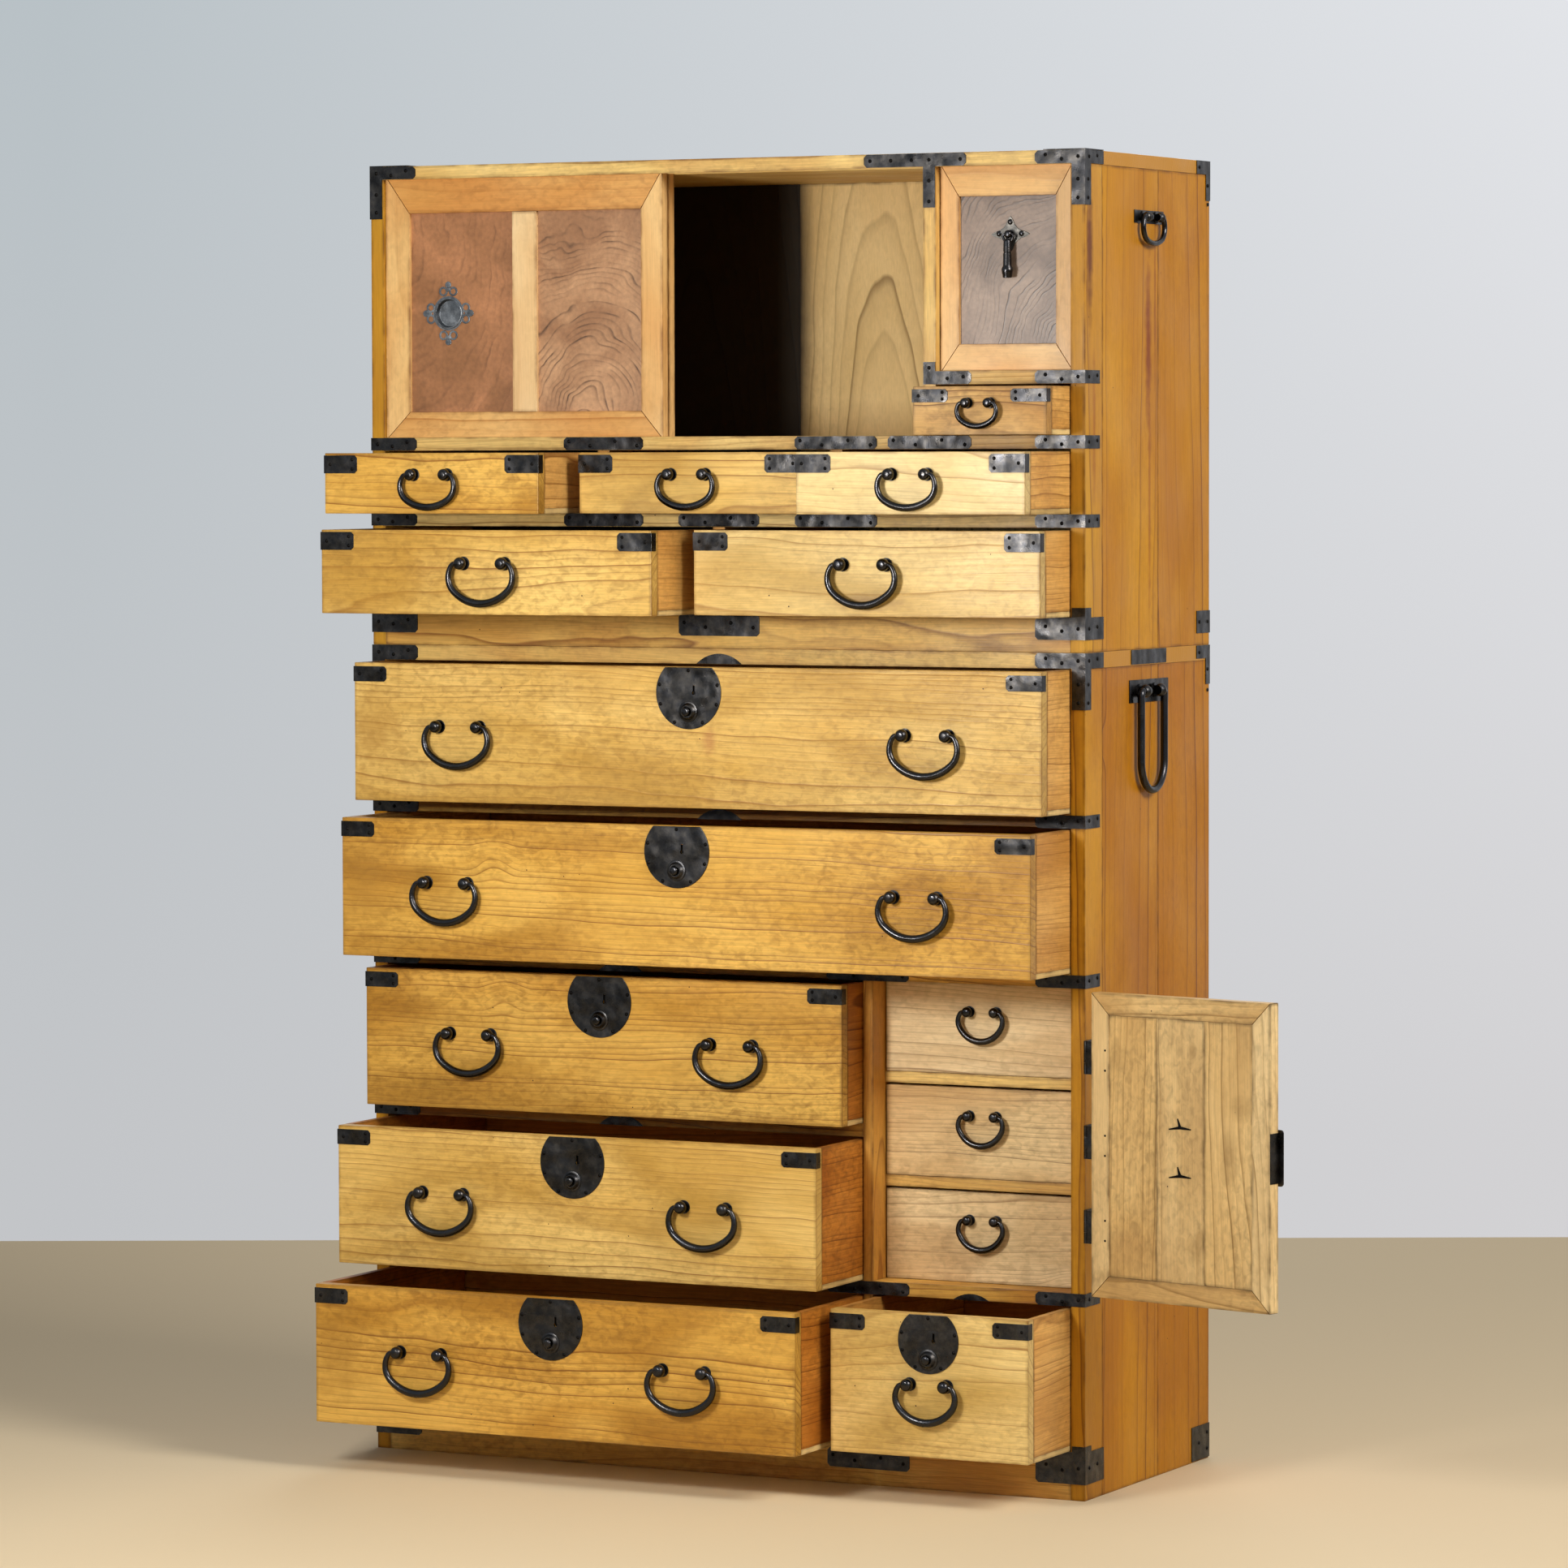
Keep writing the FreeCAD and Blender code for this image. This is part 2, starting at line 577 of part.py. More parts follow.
def lock_button(x, z_top, front):
    """The push button in the lock's boss."""
    z = z_top - LOCK_CENTRE_DROP - LOCK_BOSS_DROP
    boss_face = front - LOCK_PLATE_THICK - LOCK_BOSS_HEIGHT
    start = FreeCAD.Vector(x, boss_face + LOCK_BUTTON_INSIDE, z)
    button = rod(start, -Y_AXIS, LOCK_BUTTON_RADIUS, LOCK_BUTTON_INSIDE + LOCK_BUTTON_OUTSIDE)
    tip = [edge for edge in button.Edges if edge.BoundBox.YMax < boss_face]
    return button.makeFillet(LOCK_BUTTON_ROUND, tip)


def lock_keeper(x, z_rail, radius):
    """The segment of a disc on the rail above the drawer, in line with its lock plate."""
    z = z_rail - LOCK_CENTRE_DROP
    disc = rod(FreeCAD.Vector(x, FRONT, z), -Y_AXIS, radius, IRON_THICK)
    reach = 2 * radius
    above = box(x - reach, x + reach, FRONT - reach, FRONT + reach,
                z_rail + IRON_EDGE_INSET, z + reach)
    return disc.common(above).Solids[0]


def make_drawer(name, x0, x1, floor, row, bail, bail_drop, bail_offsets=(0.0,), lock_radius=0,
                strap=UPPER_STRAP, front=FRONT):
    """One drawer with its irons, bails and lock, at the distance that it stands open."""
    left, right = x0 + DRAWER_SIDE_GAP, x1 - DRAWER_SIDE_GAP
    bottom, top = floor + SEAT_GAP, floor + row - DRAWER_TOP_GAP
    middle = (x0 + x1) / 2
    depth = BOARD_BACK - DRAWER_BACK_GAP - front
    face = front - PULLED_OUT[name]
    irons = drawer_straps(left, right, top, face, *strap) if strap else []
    for index, offset in enumerate(bail_offsets):
        place = front_bail_place(middle + offset, face, top - bail_drop, bail)
        irons += bail_posts(place, X_AXIS, -Z_AXIS, bail)
        side = "" if len(bail_offsets) == 1 else ("left_", "right_")[index]
        nodes[f"{name}_{side}bail"] = [fern_bail(place, X_AXIS, -Z_AXIS, bail)]
    nodes[name] = drawer_box(left, right, bottom, top, face, depth)
    if lock_radius:
        nodes[f"{name}_ironwork"] = irons + lock_pieces(middle, top, face, lock_radius)
        nodes[f"{name}_lock_button"] = [lock_button(middle, top, face)]
        nodes["case_ironwork"].append(lock_keeper(middle, floor + row, lock_radius))
    else:
        nodes[name] += irons


def make_drawers():
    """All fifteen drawers, from the top of the chest down."""
    triple_left = [-INNER + bay * (TRIPLE_WIDTH + UPPER_DIVIDER) for bay in range(3)]
    make_drawer("small_drawer", SMALL_BAY_LEFT, INNER, CUPBOARD_FLOOR, SMALL_ROW,
                TINY_BAIL, SMALL_ROW_BAIL_DROP, strap=SMALL_STRAP)
    for side, x0 in zip(("left", "middle", "right"), triple_left):
        make_drawer(f"upper_{side}_drawer", x0, x0 + TRIPLE_WIDTH, TRIPLE_FLOOR, TRIPLE_ROW,
                    MEDIUM_BAIL, TRIPLE_ROW_BAIL_DROP)
    half_divider = UPPER_DIVIDER / 2
    make_drawer("upper_wide_left_drawer", -INNER, -half_divider, PAIR_FLOOR, PAIR_ROW,
                LARGE_BAIL, PAIR_ROW_BAIL_DROP)
    make_drawer("upper_wide_right_drawer", half_divider, INNER, PAIR_FLOOR, PAIR_ROW,
                LARGE_BAIL, PAIR_ROW_BAIL_DROP)
    long_pair = (-LONG_BAIL_OFFSET, LONG_BAIL_OFFSET)
    for number, floor in ((1, LOWER_FLOORS[4]), (2, LOWER_FLOORS[3])):
        make_drawer(f"long_drawer_{number}", -INNER, INNER, floor, LOWER_ROW, LARGE_BAIL,
                    LOCKED_BAIL_DROP, long_pair, LOCK_PLATE_RADIUS, LOWER_STRAP)
    wide_pair = (-WIDE_BAIL_OFFSET, WIDE_BAIL_OFFSET)
    for number, floor in ((3, LOWER_FLOORS[2]), (4, LOWER_FLOORS[1]), (5, LOWER_FLOORS[0])):
        make_drawer(f"lower_drawer_{number}", -INNER, LOWER_DIVIDER_LEFT, floor, LOWER_ROW,
                    LARGE_BAIL, LOCKED_BAIL_DROP, wide_pair, LOCK_PLATE_RADIUS, LOWER_STRAP)
    make_drawer("corner_drawer", LOWER_DIVIDER_RIGHT, INNER, LOWER_FLOORS[0], LOWER_ROW,
                CORNER_BAIL, CORNER_BAIL_DROP, (0.0,), CORNER_LOCK_RADIUS, LOWER_STRAP)
    for number, floor in ((1, INNER_FLOORS[2]), (2, INNER_FLOORS[1]), (3, INNER_FLOORS[0])):
        make_drawer(f"inner_drawer_{number}", LOWER_DIVIDER_RIGHT, INNER, floor, INNER_ROW,
                    SMALL_BAIL, INNER_BAIL_DROP, strap=None, front=INNER_FRONT)


# --- doors ------------------------------------------------------------------------

def framed_door(x0, x1, z0, z1, front, thick, borders, middle_stile=0.0):
    """Mitred frame pieces of a door; borders are left, right, bottom and top widths."""
    left, right, bottom, top = borders
    ix0, ix1, iz0, iz1 = x0 + left, x1 - right, z0 + bottom, z1 - top
    outlines = [
        [(x0, z0), (ix0, iz0), (ix0, iz1), (x0, z1)],
        [(x1, z0), (x1, z1), (ix1, iz1), (ix1, iz0)],
        [(x0, z0), (x1, z0), (ix1, iz0), (ix0, iz0)],
        [(x0, z1), (ix0, iz1), (ix1, iz1), (x1, z1)],
    ]
    if middle_stile:
        centre = (ix0 + ix1) / 2
        half = middle_stile / 2
        outlines.append([(centre - half, iz0), (centre + half, iz0),
                         (centre + half, iz1), (centre - half, iz1)])
    return [front_plate(outline, front + thick, thick) for outline in outlines]


def finger_pull(x, z, panel_front):
    """A round sunk cup with a four-lobed plate, pressed into a door panel."""
    centre = FreeCAD.Vector(x, panel_front, z)
    lobes = []
    for dx, dz in ((-1, 0), (1, 0), (0, -1), (0, 1)):
        offset = FreeCAD.Vector(dx * PULL_LOBE_OFFSET_X, 0, dz * PULL_LOBE_OFFSET_Z)
        lobes.append(rod(centre + offset, -Y_AXIS, PULL_LOBE_RADIUS, PULL_PLATE_THICK))
    cup = rod(centre - Y_AXIS * PULL_PLATE_THICK, Y_AXIS, PULL_CUP_RADIUS,
              PULL_CUP_DEPTH + PULL_PLATE_THICK)
    hollow = rod(centre - Y_AXIS * (2 * PULL_PLATE_THICK), Y_AXIS,
                 PULL_CUP_RADIUS - PULL_CUP_WALL,
                 PULL_CUP_DEPTH + 2 * PULL_PLATE_THICK - PULL_CUP_WALL)
    return one(cup, *lobes).cut(hollow).Solids[0]


def make_sliding_door(name, track, pull_on_left):
    """A framed door with two panels and a finger pull, parked at the left of its track."""
    x0 = -INNER + PARKED_GAP
    x1 = x0 + SLIDING_DOOR_WIDTH
    z0 = CUPBOARD_FLOOR - GROOVE_DEPTH_BELOW + DOOR_GROOVE_GAP
    z1 = CUPBOARD_TOP + DOOR_TONGUE_ABOVE
    front = track + DOOR_GROOVE_GAP
    left, right, bottom = SLIDING_BORDER, SLIDING_RIGHT_BORDER, SLIDING_BORDER
    top = SLIDING_TOP_BORDER + DOOR_TONGUE_ABOVE
    pieces = framed_door(x0, x1, z0, z1, front, DOOR_THICK, (left, right, bottom, top),
                         SLIDING_BORDER)
    centre = (x0 + left + x1 - right) / 2
    half = SLIDING_BORDER / 2
    panel_front = front + PANEL_RECESS
    pull_x = x0 + PULL_INSET if pull_on_left else x1 - PULL_INSET
    pull_z = CUPBOARD_FLOOR + PULL_FRACTION_UP * (CUPBOARD_TOP - CUPBOARD_FLOOR)
    seat = rod(FreeCAD.Vector(pull_x, panel_front, pull_z), Y_AXIS,
               PULL_CUP_RADIUS + PULL_SEAT_FIT, PANEL_THICK)
    for px0, px1 in ((x0 + left, centre - half), (centre + half, x1 - right)):
        panel = box(px0, px1, panel_front, panel_front + PANEL_THICK, z0 + bottom, z1 - top)
        if px0 < pull_x < px1:
            panel = panel.cut(seat)
        pieces.append(panel)
    pieces.append(finger_pull(pull_x, pull_z, panel_front))
    nodes[name] = pieces


def make_lift_out_door():
    """The small framed door that lifts up into its deep top groove, with its drop pull."""
    x0, x1 = SMALL_BAY_LEFT + LIFT_OUT_SIDE_GAP, INNER - LIFT_OUT_SIDE_GAP
    z0 = LIFT_OUT_FLOOR - GROOVE_DEPTH_BELOW + DOOR_GROOVE_GAP
    z1 = CUPBOARD_TOP + DOOR_TONGUE_ABOVE - 1
    front = LIFT_OUT_TRACK + DOOR_GROOVE_GAP
    left, right, bottom, top = LIFT_OUT_BORDERS
    bottom += GROOVE_DEPTH_BELOW
    top += DOOR_TONGUE_ABOVE
    pieces = framed_door(x0, x1, z0, z1, front, DOOR_THICK, (left, right, bottom, top))
    panel_front = front + PANEL_RECESS
    pieces.append(box(x0 + left, x1 - right, panel_front, panel_front + PANEL_THICK,
                      z0 + bottom, z1 - top))
    x = (x0 + x1) / 2 + DROP_OFFSET
    z = CUPBOARD_TOP - DROP_BELOW_TOP
    w, h = DROP_PLATE_HALF_WIDTH, DROP_PLATE_HALF_HEIGHT
    diamond = [(x - w, z), (x - w / 2, z - h / 2), (x, z - h), (x + w / 2, z - h / 2),
               (x + w, z), (x + w / 2, z + h / 2), (x, z + h), (x - w / 2, z + h / 2)]
    plate = front_plate(diamond, panel_front, DROP_PLATE_THICK)
    eye_place = FreeCAD.Vector(x, panel_front - DROP_EYE_STAND_OFF, z)
    eye = ball_post(eye_place, X_AXIS, -Y_AXIS, DROP_EYE_RADIUS, DROP_PIN_RADIUS,
                    DROP_EYE_STAND_OFF - DROP_PLATE_THICK)
    nodes["lift_out_door"] = pieces + [plate, eye]
    cheeks = [rod(eye_place + X_AXIS * (sign * DROP_CHEEK_OFFSET), -Z_AXIS, DROP_PIN_RADIUS,
                  DROP_CHEEK_LENGTH) for sign in (-1, 1)]
    corner_beads = [Part.makeSphere(DROP_PIN_RADIUS, eye_place + X_AXIS * (sign * DROP_CHEEK_OFFSET)
                                    - Z_AXIS * drop) for sign in (-1, 1)
                    for drop in (0, DROP_CHEEK_LENGTH)]
    span = 2 * DROP_CHEEK_OFFSET
    pin_start = eye_place - X_AXIS * DROP_CHEEK_OFFSET
    pin = rod(pin_start, X_AXIS, DROP_PIN_RADIUS, span)
    bridge = rod(pin_start - Z_AXIS * DROP_CHEEK_LENGTH, X_AXIS, DROP_PIN_RADIUS, span)
    stem = Part.makeCone(DROP_PIN_RADIUS, DROP_PIN_RADIUS + 1, DROP_LENGTH - DROP_CHEEK_LENGTH,
                         eye_place - Z_AXIS * DROP_CHEEK_LENGTH, -Z_AXIS)
    tip = Part.makeSphere(DROP_TIP_RADIUS, eye_place - Z_AXIS * DROP_LENGTH)
    nodes["lift_out_door_pull"] = [one(pin, bridge, stem, tip, *cheeks, *corner_beads)]


def turned_open(shapes, pivot):
    """Shapes of the shut hinged door, turned about its hinge pins to where it stands."""
    turned = []
    for shape in shapes:
        copy = shape.copy()
        copy.rotate(pivot, Z_AXIS, HINGED_OPEN_ANGLE)
        turned.append(copy)
    return turned


def make_hinges(pivot, door_left):
    """Door leaves, case leaves and pins of the three hinges, with the door shut."""
    door_leaves, case_pieces = [], []
    middle = (COMPARTMENT_FLOOR + COMPARTMENT_TOP) / 2
    knuckle = HINGE_LEAF_HEIGHT / 3
    leaf_back = FRONT - HINGED_PROUD
    for step in (-1, 0, 1):
        z0 = middle + step * HINGE_SPACING - HINGE_LEAF_HEIGHT / 2
        z1 = z0 + HINGE_LEAF_HEIGHT
        inner0, inner1 = z0 + knuckle, z1 - knuckle
        base = FreeCAD.Vector(pivot.x, pivot.y, 0)
        barrel = rod(base + Z_AXIS * (inner0 + HINGE_LEAF_GAP), Z_AXIS, HINGE_BARREL_RADIUS,
                     knuckle - 2 * HINGE_LEAF_GAP)
        leaf = box(door_left, HALF - HINGE_LEAF_GAP, leaf_back - HINGE_LEAF_THICK, leaf_back,
                   z0, z1)
        web = box(HALF - 2 * HINGE_LEAF_GAP, pivot.x - HINGE_PIN_RADIUS - HINGE_PIN_FIT,
                  leaf_back - HINGE_LEAF_THICK, leaf_back,
                  inner0 + HINGE_LEAF_GAP, inner1 - HINGE_LEAF_GAP)
        bore = rod(base + Z_AXIS * z0, Z_AXIS, HINGE_PIN_RADIUS + HINGE_PIN_FIT,
                   HINGE_LEAF_HEIGHT)
        door_leaves.append(one(leaf, web, barrel).cut(bore).Solids[0])
        plate = box(HALF, HALF + HINGE_LEAF_THICK, FRONT + HINGE_LEAF_GAP,
                    FRONT + HINGE_CASE_LEAF, z0, z1)
        pin = rod(base + Z_AXIS * z0, Z_AXIS, HINGE_PIN_RADIUS, HINGE_LEAF_HEIGHT)
        ends = [pin, plate]
        for k0 in (z0, inner1):
            ends.append(rod(base + Z_AXIS * k0, Z_AXIS, HINGE_BARREL_RADIUS, knuckle))
            ends.append(box(HALF, HALF + HINGE_LEAF_THICK, pivot.y, FRONT + 2 * HINGE_LEAF_GAP,
                            k0, k0 + knuckle))
        case_pieces.append(one(*ends))
    return door_leaves, case_pieces


def make_hinged_door():
    """The door of the drawer compartment: upright boards held by a clamp at each end."""
    x0 = LOWER_DIVIDER_RIGHT + HINGED_FREE_GAP
    x1 = INNER - HINGED_EDGE_GAP
    z0, z1 = COMPARTMENT_FLOOR + HINGED_EDGE_GAP, COMPARTMENT_TOP - HINGED_EDGE_GAP
    front = FRONT - HINGED_PROUD
    back = front + HINGED_THICK
    pieces = [box(x0, x1, front, back, z0, z0 + HINGED_CLAMP),
              box(x0, x1, front, back, z1 - HINGED_CLAMP, z1)]
    board = (x1 - x0) / HINGED_BOARDS
    for index in range(HINGED_BOARDS):
        pieces.append(box(x0 + index * board, x0 + (index + 1) * board, front, back,
                          z0 + HINGED_CLAMP, z1 - HINGED_CLAMP))
    pivot = FreeCAD.Vector(HALF + HINGE_PIN_OFFSET, FRONT - HINGE_PIN_OFFSET, 0)
    door_leaves, case_pieces = make_hinges(pivot, pivot.x - HINGE_DOOR_LEAF)
    middle = (z0 + z1) / 2
    half = DOOR_LOCK_PLATE_HEIGHT / 2
    plate = front_plate(chamfered(x0 - DOOR_LOCK_LIP, x0 - DOOR_LOCK_LIP + DOOR_LOCK_PLATE_WIDTH,
                                  middle - half, middle + half), front, IRON_THICK)
    keyhole = rod(FreeCAD.Vector(x0 + DOOR_KEYHOLE_INSET, front, middle), -Y_AXIS,
                  KEYHOLE_RADIUS, 2 * IRON_THICK)
    edge_plate = box(x0 - IRON_THICK, x0, front, front + HINGED_THICK,
                     middle - half + STRAP_CHAMFER, middle + half - STRAP_CHAMFER)
    lock = one(plate.cut(keyhole), edge_plate)
    place = front_bail_place((x0 + x1) / 2, front, middle, MEDIUM_BAIL)
    posts = bail_posts(place, Z_AXIS, X_AXIS, MEDIUM_BAIL)
    bail = fern_bail(place, Z_AXIS, X_AXIS, MEDIUM_BAIL)
    nodes["hinged_door"] = turned_open(pieces + door_leaves + [lock] + posts, pivot)
    nodes["hinged_door_bail"] = turned_open([bail], pivot)
    nodes["case_ironwork"] += case_pieces


# --- carrying handles -------------------------------------------------------------

def side_plate(width, height, z, thick=IRON_THICK):
    """A flat iron plate on the right side of the case."""
    return box(HALF, HALF + thick, -width / 2, width / 2, z - height / 2, z + height / 2)


def long_bail(place, post):
    """A U-shaped carrying bail whose pins turn inward through two ball posts."""
    bar, bend = LOWER_BAIL_BAR, LOWER_BAIL_BEND
    half = LOWER_BAIL_SPAN / 2
    head = post - math.sqrt(LOWER_BAIL_BALL ** 2 - (bar + PIN_FIT) ** 2) - PIN_FIT
    point = bail_frame(place, Y_AXIS, -Z_AXIS, X_AXIS)
    corner = bend * (1 - math.sqrt(0.5))

    def side_path(sign):
        end = point(sign * (head - PIN_HEAD_LENGTH), 0)
        pin = point(sign * (half - bend), 0)
        leg_top = point(sign * half, bend)
        leg_end = point(sign * half, LOWER_BAIL_DROP - half)
        edges = [line(end, pin), arc(pin, point(sign * (half - corner), corner), leg_top),
                 line(leg_top, leg_end)]
        return edges, end, leg_end

    left, left_end, left_leg = side_path(-1)
    right, right_end, right_leg = side_path(1)
    bottom = arc(left_leg, point(0, LOWER_BAIL_DROP), right_leg)
    bar_solid = swept(left + [bottom] + right[::-1], bar, left_end, -Y_AXIS)
    heads = [rod(left_end, -Y_AXIS, bar + PIN_HEAD_LIP, PIN_HEAD_LENGTH),
             rod(right_end, Y_AXIS, bar + PIN_HEAD_LIP, PIN_HEAD_LENGTH)]
    return one(bar_solid, *heads)


def make_carrying_handles():
    """A half-round ring on each side of the upper case and a long bail on the lower."""
    ring_z = HEIGHT - UPPER_RING_DROP
    size = UPPER_RING
    ring_place = FreeCAD.Vector(HALF + IRON_THICK + size["stand_off"], 0, ring_z)
    ring = fern_bail(ring_place, Y_AXIS, -Z_AXIS, size)
    fixed = [side_plate(*UPPER_RING_PLATE, ring_z)]
    fixed += bail_posts(ring_place, Y_AXIS, -Z_AXIS, size)
    bail_z = LOWER_HEIGHT - LOWER_BAIL_AXIS_DROP
    bail_place = FreeCAD.Vector(HALF + IRON_THICK + LOWER_BAIL_STAND_OFF, -LOWER_BAIL_FORWARD,
                                bail_z)
    bore = LOWER_BAIL_BAR + PIN_FIT
    post = (LOWER_BAIL_SPAN / 2 - LOWER_BAIL_BEND - PIN_END_GAP
            - math.sqrt(LOWER_BAIL_BALL ** 2 - bore ** 2))
    bail = long_bail(bail_place, post)
    fixed.append(side_plate(*LOWER_BAIL_PLATE, bail_z))
    for sign in (-1, 1):
        fixed.append(ball_post(bail_place + Y_AXIS * (sign * post), Y_AXIS, X_AXIS,
                               LOWER_BAIL_BALL, LOWER_BAIL_BAR, LOWER_BAIL_STAND_OFF))
    nodes["upper_right_ring"] = [ring]
    nodes["lower_right_bail"] = [bail]
    nodes["upper_left_ring"] = mirrored([ring])
    nodes["lower_left_bail"] = mirrored([bail])
    nodes["case_ironwork"] += fixed + mirrored(fixed)


# --- straps and corner irons of the cases -----------------------------------------

def rail_end_strap(z0, z1, side_reach=RAIL_SIDE_STRAP):
    """A strap on the right end of a rail that turns the corner onto the case side."""
    low, high = z0 + IRON_EDGE_INSET, z1 - IRON_EDGE_INSET
    face = front_plate(chamfered(HALF - RAIL_END_STRAP, HALF + IRON_THICK, low, high,
                                 right=False), FRONT, IRON_THICK)
    return one(face, box(HALF, HALF + IRON_THICK, FRONT, FRONT + side_reach, low, high))


def corner_arm(z0, z1):
    """The upright arm of a corner iron, on the stile's front and side."""
    x0 = HALF - CORNER_ARM_WIDTH
    return one(box(x0, HALF + IRON_THICK, FRONT - IRON_THICK, FRONT, z0, z1),
               box(HALF, HALF + IRON_THICK, FRONT, FRONT + CORNER_ARM_WIDTH, z0, z1))


def back_corner_iron(z0, z1, arm_z0, arm_z1):
    """An L-shaped iron at the back edge of the case side."""
    reach = box(HALF, HALF + IRON_THICK, BACK - BACK_CORNER_REACH, BACK, z0, z1)
    arm = box(HALF, HALF + IRON_THICK, BACK - BACK_CORNER_ARM, BACK, arm_z0, arm_z1)
    return one(reach, arm)


def middle_strap(x, z0, z1, reach=(RAIL_MIDDLE_STRAP / 2, RAIL_MIDDLE_STRAP / 2)):
    """A strap across the front of a rail where a divider meets it."""
    low, high = z0 + IRON_EDGE_INSET, z1 - IRON_EDGE_INSET
    return front_plate(chamfered(x - reach[0], x + reach[1], low, high), FRONT, IRON_THICK)


def make_case_straps():
    """Every strap and corner iron fixed to the two cases."""
    right = []
    top_under = HEIGHT - UPPER_TOP_THICK
    right.append(one(rail_end_strap(top_under, HEIGHT, CORNER_SIDE_REACH),
                     corner_arm(HEIGHT - UPPER_TOP_THICK - CORNER_ARM_DROP, HEIGHT)))
    right.append(box(HALF - CORNER_SIDE_REACH, HALF + IRON_THICK, FRONT - IRON_THICK,
                     FRONT + CORNER_SIDE_REACH, HEIGHT, HEIGHT + IRON_THICK))
    for z in (CUPBOARD_FLOOR, TRIPLE_FLOOR, *LOWER_FLOORS[3:], LOWER_FLOORS[1]):
        right.append(rail_end_strap(z - RAIL_THICK, z))
    base_low = PAIR_FLOOR - BASE_IRON_HEIGHT
    right.append(one(rail_end_strap(base_low, PAIR_FLOOR, CORNER_SIDE_REACH),
                     corner_arm(base_low + IRON_EDGE_INSET, PAIR_FLOOR + BASE_IRON_RISE)))
    lower_top = LOWER_HEIGHT - LOWER_TOP_THICK
    right.append(one(rail_end_strap(lower_top, LOWER_HEIGHT, CORNER_SIDE_REACH),
                     corner_arm(lower_top - CORNER_ARM_DROP, LOWER_HEIGHT - IRON_EDGE_INSET)))
    right.append(one(rail_end_strap(FOOT_IRON_BOTTOM, LOWER_PLINTH, CORNER_SIDE_REACH),
                     corner_arm(FOOT_IRON_BOTTOM + IRON_EDGE_INSET, FOOT_IRON_TOP)))
    right.append(back_corner_iron(HEIGHT - UPPER_TOP_THICK, HEIGHT,
                                  HEIGHT - CORNER_ARM_DROP, HEIGHT))
    right.append(back_corner_iron(base_low, PAIR_FLOOR, base_low, PAIR_FLOOR))
    right.append(back_corner_iron(LOWER_HEIGHT - UPPER_TOP_THICK, LOWER_HEIGHT - IRON_EDGE_INSET,
                                  LOWER_HEIGHT - CORNER_ARM_DROP,
                                  LOWER_HEIGHT - IRON_EDGE_INSET))
    foot_reach, foot_low, foot_high = BACK_FOOT_IRON
    right.append(box(HALF, HALF + IRON_THICK, BACK - foot_reach, BACK, foot_low, foot_high))
    right.append(side_plate(*SEAM_PLATE,
                            LOWER_HEIGHT - IRON_EDGE_INSET - SEAM_PLATE[1] / 2))
    straps = right + mirrored(right)
    straps.append(rail_end_strap(LIFT_OUT_FLOOR - RAIL_THICK, LIFT_OUT_FLOOR))
    straps += mirrored([rail_end_strap(LOWER_FLOORS[2] - RAIL_THICK, LOWER_FLOORS[2])])

    small_middle = (CUPBOARD_RIGHT + SMALL_BAY_LEFT) / 2
    triple_first = -INNER + TRIPLE_WIDTH + UPPER_DIVIDER / 2
    lower_middle = (LOWER_DIVIDER_LEFT + LOWER_DIVIDER_RIGHT) / 2
    arm_half = UPPER_DIVIDER / 2 - IRON_EDGE_INSET
    straps.append(one(middle_strap(small_middle, top_under, HEIGHT, TOP_STRAP_REACH),
                      box(small_middle - arm_half, small_middle + arm_half, FRONT - IRON_THICK,
                          FRONT, top_under - CORNER_ARM_DROP, top_under + IRON_EDGE_INSET)))
    for x in (triple_first, -triple_first, small_middle):
        straps.append(middle_strap(x, CUPBOARD_FLOOR - RAIL_THICK, CUPBOARD_FLOOR))
    for x in (triple_first, 0.0, -triple_first):
        straps.append(middle_strap(x, TRIPLE_FLOOR - RAIL_THICK, TRIPLE_FLOOR))
    straps.append(middle_strap(0.0, base_low, PAIR_FLOOR))
    for z in (LOWER_FLOORS[3], LOWER_FLOORS[1]):
        straps.append(middle_strap(lower_middle, z - RAIL_THICK, z))
    straps.append(middle_strap(lower_middle, FOOT_IRON_BOTTOM,
                               FOOT_IRON_BOTTOM + FOOT_STRAP_HEIGHT))
    low, high = LIFT_OUT_FLOOR - RAIL_THICK + IRON_EDGE_INSET, LIFT_OUT_FLOOR - IRON_EDGE_INSET
    branch = front_plate(chamfered(small_middle - arm_half, small_middle + RAIL_MIDDLE_STRAP / 2,
                                   low, high, left=False), FRONT, IRON_THICK)
    upright = box(small_middle - arm_half, small_middle + arm_half, FRONT - IRON_THICK, FRONT,
                  low, high + BASE_IRON_RISE)
    straps.append(one(branch, upright))
    nodes["case_ironwork"] += straps


def main():
    os.makedirs("parts", exist_ok=True)
    nodes["case_ironwork"] = []
    nodes["upper_case"] = make_upper_case()
    nodes["lower_case"] = make_lower_case()
    make_case_straps()
    make_drawers()
    make_sliding_door("sliding_door_front", FIRST_TRACK, pull_on_left=True)
    make_sliding_door("sliding_door_back", SECOND_TRACK, pull_on_left=False)
    make_lift_out_door()
    make_hinged_door()
    make_carrying_handles()
    for name, solids in sorted(nodes.items()):
        for solid in solids:
            if len(solid.Solids) != 1 or not solid.isValid():
                raise ValueError(f"{name} holds a piece that is not one valid solid")
        Part.makeCompound(solids).exportStep(f"parts/{name}.step")
        print(name, len(solids))
    print("nodes", len(nodes))


main()
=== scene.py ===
import math
import random

import bpy
from mathutils import Matrix, Vector


